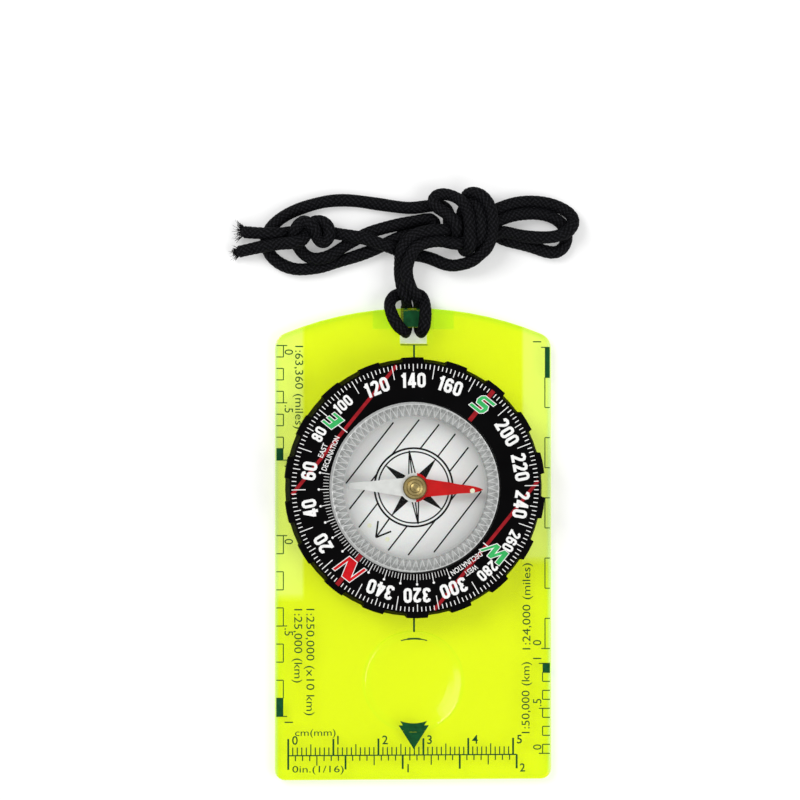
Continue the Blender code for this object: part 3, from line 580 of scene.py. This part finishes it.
def tube(name, line):
    """A braided cord on its line: rings of points whose height follows the crossing strands."""
    path = line[:, :3]
    tangent = np.gradient(path, axis=0)
    tangent /= np.linalg.norm(tangent, axis=1)[:, None]
    normal = np.zeros_like(path)
    first = np.array([0.0, 0.0, 1.0])
    for i, t in enumerate(tangent):
        first = first - t * (first @ t)
        first /= np.linalg.norm(first)
        normal[i] = first
    side = np.cross(tangent, normal)
    length = len(path)
    along = np.arange(length) * LINE_STEP
    turn = np.linspace(0.0, 2 * math.pi, AROUND, endpoint=False)
    s, u = np.meshgrid(along, turn, indexing="ij")
    p = STRAND_PAIRS * u + s * (2 * math.pi / PITCH)
    q = STRAND_PAIRS * u - s * (2 * math.pi / PITCH)
    over = np.sin(p) * np.sin(q) > 0
    height = np.where(over, np.abs(np.sin(p)) ** 0.6, np.abs(np.sin(q)) ** 0.6)
    swell = 1.0 + 0.02 * np.sin(s * 0.7) + 0.015 * np.sin(s * 0.23 + 1.0)
    end = np.minimum(np.arange(length), np.arange(length)[::-1])[:, None]
    cap = np.clip(end / 4.0, 0.35, 1.0) ** 0.5
    upright = 1.0 - 0.18 * tangent[:, 2:3] ** 2
    full = (BRAID_HALF * swell + WEAVE * (height - 0.6)) * cap * upright
    squeeze = np.clip(line[:, 3:4] / FREE_HALF, 0.0, 1.0)
    out = np.cos(u)[:, :, None] * normal[:, None, :] + np.sin(u)[:, :, None] * side[:, None, :]
    out[:, :, 2] *= squeeze
    rings = path[:, None, :] + full[:, :, None] * out
    rings[:, :, 2] = np.maximum(rings[:, :, 2], 0.06)
    return mesh_piece(name, rings.reshape(-1, 3).tolist(), ring_faces(length, AROUND), height.ravel())


def mesh_piece(name, verts, faces, strand=None):
    """A mesh object from points in mm. strand is how far each point stands out of the braid, 0 to 1."""
    mesh = bpy.data.meshes.new(name)
    mesh.from_pydata((np.array(verts, float) * MM).tolist(), [], faces)
    if strand is not None:
        mesh.attributes.new("strand", "FLOAT", "POINT").data.foreach_set("value", strand)
    mesh.validate()
    if strand is not None:
        mesh.polygons.foreach_set("use_smooth", [True] * len(mesh.polygons))
    mesh.update()
    made = bpy.data.objects.new(name, mesh)
    scene.collection.objects.link(made)
    return made


def give(piece, body, material):
    piece.data.materials.clear()
    piece.data.materials.append(material)
    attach(piece, body)
    return piece


def frayed_end(name, line, seed, reach, fork):
    """Loose fibres where the cord was cut: two tufts, fork apart to each side, and a few stray threads."""
    rng = np.random.default_rng(seed)
    tip = line[-1, :3]
    ahead = line[-1, :3] - line[-6, :3]
    ahead /= np.linalg.norm(ahead)
    up = np.array([0.0, 0.0, 1.0])
    across = np.cross(ahead, up)
    steps, around = 7, 5
    verts, faces = [], []
    for number in range(64):
        stray = number % 5 == 0
        swing = (fork if number % 2 else -fork) + rng.normal(0.0, 0.3 if stray else 0.12)
        lift = rng.uniform(-0.25, 0.3)
        long = reach * (rng.uniform(0.6, 1.1) if stray else rng.uniform(0.3, 0.75))
        start = tip + across * rng.uniform(-0.8, 0.8) + up * rng.uniform(-0.5, 0.6) - ahead * 0.9
        heading = ahead + across * swing + up * lift
        curl = across * rng.uniform(-0.5, 0.5)
        thick = rng.uniform(0.06, 0.1) if stray else rng.uniform(0.15, 0.28)
        faces += ring_faces(steps, around, len(verts))
        for share in np.linspace(0.0, 1.0, steps):
            point = start + heading * long * share + curl * long * share**2
            point[2] = max(point[2], 0.15)
            size = thick * (1.0 - 0.7 * share)
            for angle in np.linspace(0.0, 2 * math.pi, around, endpoint=False):
                verts.append(point + across * math.cos(angle) * size + up * math.sin(angle) * size)
    return mesh_piece(name, verts, faces, np.full(len(verts), 0.8))


def make_lanyard(material):
    """Both halves of the lanyard, from the middle of the hitch to their cut ends."""
    first, second = cord_routes()
    solids = [n for n in nodes if n.startswith("lanyard_")]
    for name, line, *end in (("cord_left", first, 5, 2.4, 0.35), ("cord_right", second, 9, 3.0, 0.6)):
        cord = give(tube(name, line), "baseplate", material)
        fray = give(frayed_end(name + "_fray", line, *end), "baseplate", material)
    ends = ("lanyard_upper_lead", "lanyard_end_knot", "lanyard_lower_tail")
    left = [n for n in solids if n in ends or n.split("_")[1] in ("left", "big")]
    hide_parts(*left)
    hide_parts(*[n for n in solids if n not in left])


# ---- prints


def about(angle, radius, centre=AXIS):
    """The point at angle degrees and radius about centre."""
    turn = math.radians(angle)
    return centre[0] + radius * math.cos(turn), centre[1] + radius * math.sin(turn)


def along_and_across(angle):
    """Unit vectors along angle degrees and to its left."""
    along = np.array(about(angle, 1.0, (0.0, 0.0)))
    return along, np.array([-along[1], along[0]])


def turned(points, degrees, place):
    """Points turned by degrees about (0, 0) and then moved to place."""
    c, s = math.cos(math.radians(degrees)), math.sin(math.radians(degrees))
    return [(place[0] + x * c - y * s, place[1] + x * s + y * c) for x, y in points]


def anticlockwise(outline):
    area = sum(a[0] * b[1] - b[0] * a[1] for a, b in zip(outline, outline[1:] + outline[:1]))
    return outline[::-1] if area < 0 else outline


class Print:
    """A thin raised film made of many closed flat shapes, in mm."""

    def __init__(self, bottom, thickness, drape=None):
        self.bottom = bottom
        self.top = bottom + thickness
        self.drape = drape
        self.verts = []
        self.faces = []
        self.made = 0

    def prism(self, outline):
        """A closed prism over an outline of (x, y). Tops differ by a hair, so crossings never share one."""
        outline = anticlockwise([tuple(p) for p in outline])
        base = len(self.verts)
        count = len(outline)
        self.made += 1
        for level in (self.bottom, self.top + 0.004 * (self.made % 6)):
            for x, y in outline:
                self.verts.append((x, y, level + self.rise(x, y)))
        self.faces.append(tuple(base + i for i in range(count))[::-1])
        self.faces.append(tuple(base + count + i for i in range(count)))
        for i in range(count):
            n = (i + 1) % count
            self.faces.append((base + i, base + n, base + count + n, base + count + i))

    def rise(self, x, y):
        """How far the surface stands above the film's level here."""
        if self.drape is None:
            return 0.0
        hit = self.drape.ray_cast(Vector((x * MM, y * MM, 0.05)), Vector((0, 0, -1)))
        if hit[0] is None:
            return 0.0
        return max(0.0, hit[0].z / MM - self.bottom) + 0.01

    def strip(self, start, end, width):
        """A straight bar from start to end."""
        a, b = np.array(start, float), np.array(end, float)
        run = (b - a) / max(np.linalg.norm(b - a), 1e-9)
        off = np.array([-run[1], run[0]]) * width / 2
        pieces = max(1, int(np.linalg.norm(b - a) / 0.6)) if self.drape else 1
        for i in range(pieces):
            p, q = a + (b - a) * i / pieces, a + (b - a) * (i + 1) / pieces
            self.prism([p - off, q - off, q + off, p + off])

    def stroke(self, points, width):
        """A pen stroke of even width along a bent line, mitred at its bends."""
        line = np.array(points, float)
        runs = np.diff(line, axis=0)
        runs /= np.linalg.norm(runs, axis=1)[:, None]
        runs = np.vstack([runs[0], runs, runs[-1]])
        sides = []
        for before, after in zip(runs, runs[1:]):
            middle = before + after
            middle /= max(np.linalg.norm(middle), 0.3)
            reach = min(1.0 / max(middle @ after, 0.1), 1.5)
            sides.append(np.array([-middle[1], middle[0]]) * reach * width / 2)
        for a, b, p, q in zip(line, line[1:], sides, sides[1:]):
            self.prism([a - p, b - q, b + q, a + p])

    def digits(self, text, at, radius, tall):
        """A condensed bold number standing on the ring at angle at, its top outwards."""
        scale = tall / DIGIT_TALL
        widths = [1.45 if d == "1" else 2.1 for d in text]
        start = -sum(widths) / 2
        for digit, width in zip(text, widths):
            shift = start + width / 2
            start += width
            for pen in DIGITS[digit]:
                line = [((x + shift) * scale, y * scale) for x, y in pen]
                self.stroke(turned(line, at - 90, about(at, radius)), 0.64 * scale)

    def block_letter(self, letter, at, radius, turn, grow):
        """A sloping block letter made of flat plates, each swollen by grow."""
        slope = 0.0 if letter in "NW" else 0.29
        for plate in BLOCK_LETTERS[letter]:
            outline = swollen([(x + slope * y, y) for x, y in plate], grow)
            self.prism(turned(outline, turn, about(at, radius)))

    def patch(self, cells, levels):
        """A patch between two slanting sides, in cells small enough to follow the surface. levels are
        (y, low x, high x) rows."""
        for (ya, la, ha), (yb, lb, hb) in zip(levels, levels[1:]):
            for i in range(cells):
                p, q = i / cells, (i + 1) / cells
                near = [(la + (ha - la) * p, ya), (la + (ha - la) * q, ya)]
                self.prism(near + [(lb + (hb - lb) * q, yb), (lb + (hb - lb) * p, yb)])

    def arc(self, centre, radius, width, start, end, steps):
        """A curved band about centre, from start to end degrees."""
        inner, outer = radius - width / 2, radius + width / 2
        for i in range(steps):
            a = start + (end - start) * i / steps
            b = start + (end - start) * (i + 1) / steps
            self.prism([about(t, r, centre) for r, t in ((inner, a), (outer, a), (outer, b), (inner, b))])

    def dot(self, centre, radius, steps=14):
        self.prism([about(360 * k / steps, radius, centre) for k in range(steps)])

    def ray(self, angle, near, far, width):
        """A radial bar at angle degrees about the dial's axis."""
        self.strip(about(angle, near), about(angle, far), width)

    def words(self, text, place, turn, height, width=None, bold=0.0, from_left=False):
        """Lettering of the given height and width, with its middle or its left end at place."""
        verts, faces, low, high = letter_shapes(text, bold, self.top - self.bottom)
        tall = letter_height(bold)
        scale_y = height / tall
        scale_x = scale_y if width is None else width / (high - low)
        middle = low if from_left else (low + high) / 2
        flat = [((x - middle) * scale_x, (y - tall / 2) * scale_y) for x, y, _ in verts]
        base = len(self.verts)
        for (x, y), (_, _, z) in zip(turned(flat, turn, place), verts):
            self.verts.append((x, y, self.bottom + z + self.rise(x, y)))
        self.faces.extend(tuple(base + i for i in face) for face in faces)

    def piece(self, name):
        return mesh_piece(name, self.verts, self.faces)


LETTERS = {}
DIGIT_TALL = 3.3
OVAL = [
    (-0.6, -0.85), (-0.6, 0.85), (-0.4, 1.2), (0.0, 1.33), (0.4, 1.2), (0.6, 0.85),
    (0.6, -0.85), (0.4, -1.2), (0.0, -1.33), (-0.4, -1.2), (-0.6, -0.85), (-0.6, -0.8),
]
# Pen strokes of a condensed bold digit in a 1.9 by 3.3 mm box, mm.
DIGITS = {
    "0": [OVAL],
    "1": [[(0.12, -1.65), (0.12, 1.65)], [(0.3, 1.35), (-0.5, 0.8)]],
    "2": [[(-0.6, 0.72), (-0.48, 1.15), (0.0, 1.33), (0.45, 1.15), (0.6, 0.75), (0.45, 0.2), (-0.5, -1.3)],
          [(-0.85, -1.33), (0.85, -1.33)]],
    "3": [[(-0.6, 0.75), (-0.42, 1.18), (0.0, 1.33), (0.45, 1.15), (0.56, 0.7), (0.42, 0.25), (-0.1, 0.05)],
          [(-0.1, 0.05), (0.45, -0.2), (0.6, -0.75), (0.45, -1.18), (0.0, -1.33), (-0.45, -1.18),
           (-0.6, -0.75)]],
    "4": [[(0.28, -1.65), (0.28, 1.65)], [(0.2, 1.4), (-0.62, -0.7)], [(-0.9, -0.76), (0.9, -0.76)]],
    "6": [[(0.6, 0.75), (0.42, 1.18), (0.0, 1.33), (-0.42, 1.18), (-0.6, 0.8), (-0.6, -0.85), (-0.4, -1.2),
           (0.0, -1.33), (0.4, -1.2), (0.6, -0.85), (0.58, -0.25), (0.35, 0.12), (-0.45, 0.1)]],
    "8": [[(0.0, 0.05), (-0.5, 0.32), (-0.56, 0.8), (-0.38, 1.2), (0.0, 1.33), (0.38, 1.2), (0.56, 0.8),
           (0.5, 0.32), (0.0, 0.05), (-0.54, -0.3), (-0.6, -0.85), (-0.4, -1.2), (0.0, -1.33), (0.4, -1.2),
           (0.6, -0.85), (0.54, -0.3), (0.0, 0.05)]],
}
# Overlapping convex plates that make each cardinal letter with its outline, mm.
BLOCK_LETTERS = {
    "N": [
        [(-3.17, -2.35), (-2.22, -2.35), (-0.91, 2.35), (-1.86, 2.35)],
        [(-0.48, -2.35), (1.92, -2.35), (0.48, 2.35), (-1.86, 2.35)],
        [(0.97, -2.35), (1.92, -2.35), (3.15, 2.35), (2.2, 2.35)],
    ],
    "E": [
        [(-1.53, -1.8), (-0.05, -1.8), (-0.05, 1.8), (-1.53, 1.8)],
        [(-1.53, 0.93), (1.53, 0.93), (1.53, 1.8), (-1.53, 1.8)],
        [(-1.53, -0.44), (1.53, -0.44), (1.53, 0.44), (-1.53, 0.44)],
        [(-1.53, -1.8), (1.53, -1.8), (1.53, -0.93), (-1.53, -0.93)],
    ],
    "S": [
        [(-1.5, 1.07), (-1.5, 1.8), (-1.25, 2.05), (1.87, 2.05), (1.87, 1.07)],
        [(-1.87, 1.4), (-1.25, 2.05), (-0.7, 2.05), (-0.7, -0.45), (-1.3, -0.45), (-1.87, 0.25)],
        [(-1.5, -0.3), (-1.5, 0.3), (-1.2, 0.65), (1.2, 0.65),
         (1.5, 0.3), (1.5, -0.3), (1.2, -0.65), (-1.2, -0.65)],
        [(1.87, -1.4), (1.25, -2.05), (0.7, -2.05), (0.7, 0.45), (1.3, 0.45), (1.87, -0.25)],
        [(1.5, -1.07), (1.5, -1.8), (1.25, -2.05), (-1.87, -2.05), (-1.87, -1.07)],
    ],
    "W": [
        [(-2.45, 1.85), (-1.05, 1.85), (-1.1, -1.85), (-2.45, -1.85)],
        [(-2.2, -1.85), (-1.1, -1.85), (1.2, 1.85), (0.1, 1.85)],
        [(-0.05, 1.85), (1.25, 1.85), (1.15, -1.85), (-0.1, -1.85)],
        [(0.1, -1.85), (1.15, -1.85), (3.5, 1.85), (2.55, 1.85)],
    ],
}


def swollen(outline, grow):
    """A convex outline with every side moved outwards by grow."""
    points = np.array(anticlockwise(outline), float)
    sides = np.roll(points, -1, axis=0) - points
    sides /= np.linalg.norm(sides, axis=1)[:, None]
    out = np.column_stack([sides[:, 1], -sides[:, 0]])
    moved = []
    for point, before, after in zip(points, np.roll(out, 1, axis=0), out):
        moved.append(point + (before + after) * grow / (1.0 + before @ after))
    return moved


def letter_shapes(text, bold, thick):
    """The closed shapes of a text at size 1, with their left and right ends. z runs from 0 to thick."""
    key = (text, bold, thick)
    if key in LETTERS:
        return LETTERS[key]
    data = bpy.data.curves.new("letters", "FONT")
    data.body = text
    data.size = 1.0
    data.offset = bold
    data.extrude = 0.5
    data.resolution_u = 3
    made = bpy.data.objects.new("letters", data)
    scene.collection.objects.link(made)
    bpy.context.view_layer.update()
    mesh = made.evaluated_get(bpy.context.evaluated_depsgraph_get()).to_mesh()
    verts = [(v.co.x, v.co.y, (v.co.z + 0.5) * thick) for v in mesh.vertices]
    faces = [tuple(p.vertices) for p in mesh.polygons]
    bpy.data.objects.remove(made)
    bpy.data.curves.remove(data)
    xs = [v[0] for v in verts]
    LETTERS[key] = (verts, faces, min(xs), max(xs))
    return LETTERS[key]


def letter_height(bold):
    """Height of a capital at size 1."""
    return max(v[1] for v in letter_shapes("H", bold, 1.0)[0])


def bearing(b):
    """Direction in degrees of ring bearing b."""
    return NORTH - b


def scale_boxes(layer, inner, outer, zero, step):
    """A side scale: ten divisions from zero, every second one boxed, and the last filled."""
    bar = 0.22
    inwards = 1 if inner < 0 else -1
    for k in range(11):
        y = zero + k * step
        reach = inner + (0.85 * inwards if k in (0, 5, 10) else 0.0)
        layer.strip((outer, y), (reach, y), bar)
    for k in range(0, 10, 2):
        layer.strip((inner, zero + k * step), (inner, zero + (k + 1) * step), bar)
    low, high = sorted((zero + 9 * step, zero + 10 * step))
    near, far = sorted((inner, outer))
    layer.prism([(near, low), (far, low), (far, high), (near, high)])


def plate_print(tree):
    """Scales, rulers and sighting marks on the plate, and a dark patch on the bar, painted shade standing
    for the black cord seen through it.
    """
    p = Print(PLATE_TOP, 0.035, tree)
    p.strip((-2.9, 44.15), (3.15, 44.15), 0.2)
    # A dark patch on the bar: painted shade for the black cord seen through the plastic, not a print.
    for k in range(9):
        x = -2.05 + 0.5 * k
        p.strip((x, 48.15), (x, 51.8 if 2 <= k <= 5 else 52.25), 0.5)
    p.strip((0.12, 44.15), (0.12, 40.6), 0.42)
    p.strip((0.12, -15.6), (0.12, -19.6), 0.42)
    scale_boxes(p, -28.9, -30.45, 43.96, -2.54)
    scale_boxes(p, -28.9, -30.45, 1.82, -4.0)
    scale_boxes(p, 29.35, 30.45, -23.4, 6.706)
    scale_boxes(p, 28.8, 30.45, -46.7, 2.0)
    for text, y in (("0", 42.5), (".5", 29.9), ("1", 17.2), ("0", 0.5), (".5", -19.5), ("1", -39.5)):
        p.words(text, (-27.7, y), -90, 1.85)
    for text, y in (("0", -22.1), (".5", 11.5), ("1", 44.9), ("0", -45.3), (".5", -35.4), ("1", -25.6)):
        p.words(text, (27.6, y), 90, 1.85)
    p.words("1:63,360 (miles)", (-25.4, 34.7), -90, 1.75, 18.4)
    p.words("1:25,000 (km)", (-25.6, -22.6), -90, 1.75, 16.3)
    p.words("1:250,000 (x10 km)", (-22.9, -26.2), -90, 1.75, 23.6)
    p.words("1:24,000 (miles)", (25.2, -14.0), 90, 1.75, 19.2)
    p.words("1:50,000 (km)", (25.0, -34.3), 90, 1.75, 15.8)
    base, zero = -46.9, -27.8
    p.strip((-27.95, base), (23.0, base), 0.26)
    for k in range(51):
        x = zero + k
        if k % 10 == 0:
            p.strip((x, base), (x, -43.2), 0.42)
            p.words(str(k // 10), (x + 0.85, -43.5), 0, 1.9, bold=0.01, from_left=True)
        else:
            p.strip((x, base), (x, -44.4 if k % 5 == 0 else -45.1), 0.25)
    for k in range(33):
        x = zero + k * 25.4 / 16
        if k % 8 == 0:
            p.strip((x, base), (x, -50.0), 0.42)
        else:
            p.strip((x, base), (x, -49.1 if k % 4 == 0 else -48.1), 0.25)
    p.words("1", (-1.2, -49.8), 0, 1.8, bold=0.01)
    p.words("2", (24.3, -49.8), 0, 1.8, bold=0.01)
    p.words("cm(mm)", (-21.8, -41.8), 0, 1.45, 9.0)
    p.words("0in.(1/16)", (-21.2, -49.9), 0, 1.45, 11.4)
    # The pointer below the lens: a triangle that narrows downwards, with a hollowed top.
    left = 1 - np.arange(16) / 16
    sides = [(-45.6 + 5.3 * share, 0.05 - 3.36 * share, 0.05 + 3.36 * share) for share in left]
    p.patch(14, sides + [(-45.6, 0.04, 0.06)])
    for k in range(14):
        a, b = -3.0 + 6.0 * k / 14, -3.0 + 6.0 * (k + 1) / 14
        high = [-39.3 - 0.55 * (1 - (x / 3.0) ** 2) for x in (a, b)]
        p.prism([(a * 0.8, -40.3), (b * 0.8, -40.3), (b, high[1]), (a, high[0])])
    p.arc((0.1, -31.7), 10.6, 0.24, 74, 106, 12)
    p.arc((0.1, -31.7), 10.62, 0.4, 82, 98, 8)
    return p.piece("plate_print")


def ring_prints(white, red, line_red, green):
    """The bezel's face: ticks, numerals, cardinal letters, red meridians and the declination scale."""
    marks = Print(RING_TOP, 0.05)
    for b in range(0, 360, 2):
        if b in (0, 180):
            continue
        inner = {0: 25.7, 10: 24.2}.get(b % 20, 26.3)
        if b in (90, 270):
            inner = 25.0
        marks.ray(bearing(b), inner, 27.3, 0.18)
    for b in range(20, 360, 20):
        if b == 180:
            continue
        small = b in (80, 100, 260, 280)
        marks.digits(str(b), bearing(b), 24.3 if small else 23.7, 2.6 if small else 3.3)
    for side in (90, 270):
        marks.ray(bearing(side), 19.3, 22.0, 0.22)
    for b in range(-60, 61, 2):
        tenth = b % 10 == 0
        if b:
            marks.ray(bearing(b), 19.1, 21.0 if tenth else 20.35, 0.15 if tenth else 0.1)
        if tenth and b:
            marks.dot(about(bearing(b), 21.3), 0.27, 10)
    for b, word in ((73.0, "EAST"), (-73.0, "WEST")):
        at = bearing(b)
        for text, r, wide in ((word, 22.0, 3.2), ("DECLINATION", 20.2, 8.0)):
            marks.words(text, about(at, r), at - 90, 1.15, wide, bold=0.012)
    outline = Print(RING_TOP, 0.07)
    letters_red = Print(RING_TOP, 0.1)
    letters_green = Print(RING_TOP, 0.1)
    for b, letter, r in ((0, "N", 23.1), (90, "E", 23.4), (180, "S", 23.6), (270, "W", 22.9)):
        inner = letters_red if letter == "N" else letters_green
        outline.block_letter(letter, bearing(b), r, NORTH - 90, 0.0)
        inner.block_letter(letter, bearing(b), r, NORTH - 90, -0.17)
    lines = Print(RING_TOP, 0.02)
    along, across = along_and_across(NORTH)
    for offset in (-20.2, 20.2):
        reach = math.sqrt(27.55**2 - (abs(offset) + 0.4) ** 2)
        middle = CENTRE + across * offset
        lines.strip(middle - along * reach, middle + along * reach, 0.75)
    for end in (-1, 1):
        lines.strip(CENTRE + along * end * 19.05, CENTRE + along * end * 27.5, 1.0)
    give(marks.piece("ring_marks"), "bezel", white)
    give(outline.piece("ring_letter_outlines"), "bezel", white)
    give(letters_red.piece("ring_north_letter"), "bezel", red)
    give(letters_green.piece("ring_cardinal_letters"), "bezel", green)
    give(lines.piece("ring_meridians"), "bezel", line_red)


def clipped_chord(offset, angle, outer, inner):
    """Ends of the chord at offset in a circle of radius outer, in one or two parts outside inner."""
    along, across = along_and_across(angle)
    middle = CENTRE + across * offset
    half = math.sqrt(outer**2 - offset**2)
    if abs(offset) >= inner:
        return [(middle - along * half, middle + along * half)]
    gap = math.sqrt(inner**2 - offset**2)
    return [(middle - along * half, middle - along * gap), (middle + along * gap, middle + along * half)]


def disc_prints(black, lume):
    """Orienting lines, arrow and compass rose on the capsule's floor."""
    p = Print(DISC_TOP, 0.03)
    angle = 52.0
    for k in range(-3, 4):
        for start, end in clipped_chord(4.14 * k, angle, 15.1, 8.7):
            if k == 0 and start[0] < AXIS[0] and end[0] < AXIS[0]:
                continue
            p.strip(start, end, 0.32)
    tip = (-8.4, 1.4)
    p.strip(about(angle + 180, 8.7), tip, 0.34)
    p.strip(tip, (-7.9, 5.05), 0.38)
    p.strip(tip, (-5.0, 2.75), 0.38)
    p.arc(AXIS, 8.7, 0.42, 0, 360, 90)
    p.arc(AXIS, 7.9, 0.32, 0, 360, 90)
    for turn in (52, 142, 232, 322):
        along, across = along_and_across(turn)
        waist = CENTRE + along * 3.1
        p.prism([CENTRE + along * 1.4, waist + across * 0.95, CENTRE + along * 8.3, waist - across * 0.95])
    for turn in (7, 97, 187, 277):
        along, across = along_and_across(turn)
        for side in (-1, 0, 1):
            p.strip(CENTRE + along * 2.2 + across * 0.85 * side, CENTRE + along * 8.2, 0.27)
    give(p.piece("disc_print"), "capsule", black)
    dots = Print(DISC_TOP, 0.06)
    dots.dot((-9.8, 4.05), 0.5)
    dots.dot((-5.85, 1.0), 0.5)
    give(dots.piece("disc_lume"), "capsule", lume)


def needle_paint(lume):
    dots = Print(BLADE_TOP, 0.05)
    dots.dot((12.82, 11.75), 0.55, 18)
    give(dots.piece("needle_lume"), "needle", lume)


def surface_tree(node):
    mesh = nodes[node].data
    faces = [tuple(p.vertices) for p in mesh.polygons]
    return BVHTree.FromPolygons([v.co.copy() for v in mesh.vertices], faces)


def dress(material, *names):
    for name in names:
        data = nodes[name].data
        data.materials.clear()
        data.materials.append(material)


# ---- build

make_camera()
make_lights()
floor = make_floor()
floor.data.materials.append(floor_material())

make_lanyard(braid_material())

dress(plate_material(), "baseplate")
bezel_black = moulded("bezel_black", (0.0012, 0.0011, 0.0013), (0.0026, 0.0024, 0.0027), 0.6, specular=0.02)
dress(bezel_black, "bezel_ring")
dress(moulded("retainer_grey", (0.05, 0.05, 0.052), (0.075, 0.075, 0.078), 0.5), "bezel_retainer")
soft_seal = moulded("soft_seal", (0.018, 0.018, 0.019), (0.03, 0.03, 0.031), 0.6)
dress(soft_seal, "declination_friction_ring", "crown_gasket")
dress(moulded("plug_white", (0.70, 0.70, 0.68), (0.8, 0.8, 0.78), 0.45), "fill_plug")
dress(metal("spring_steel", (0.42, 0.42, 0.43), (0.6, 0.6, 0.61), 0.3, 900.0), "drag_ring")
dress(metal("pivot_steel", (0.45, 0.45, 0.46), (0.62, 0.62, 0.63), 0.25, 1400.0), "pivot_pin")
turned_brass = metal("turned_brass", (0.30, 0.22, 0.085), (0.50, 0.39, 0.17), 0.32, 1600.0)
dress(turned_brass, "pivot_post", "needle_hub")
dress(ink("jewel_red", (0.25, 0.006, 0.02), (0.4, 0.012, 0.04), 0.15), "jewel_cup")
dress(clear_material("clear_crown", True), "capsule_crown")
dress(clear_material("clear_cup", False), "capsule_cup")
dress(milky_material(), "orienting_disc")
dress(needle_material(), "needle_blade")

white = ink("dial_white", (0.74, 0.74, 0.73), (0.86, 0.86, 0.85))
red = ink("dial_red", (0.46, 0.003, 0.006), (0.60, 0.006, 0.012))
line_red = ink("line_red", (0.22, 0.005, 0.009), (0.34, 0.008, 0.014))
green = ink("dial_green", (0.025, 0.36, 0.085), (0.05, 0.46, 0.13))
black = ink("disc_black", (0.001, 0.001, 0.001), (0.003, 0.003, 0.003))
lume = ink("luminous_cream", (0.72, 0.72, 0.52), (0.86, 0.86, 0.68), strength=0.05)
plate_ink = ink("plate_green", (0.001, 0.05, 0.012), (0.004, 0.085, 0.022))

give(plate_print(surface_tree("baseplate")), "baseplate", plate_ink)
ring_prints(white, red, line_red, green)
disc_prints(black, lume)
needle_paint(lume)
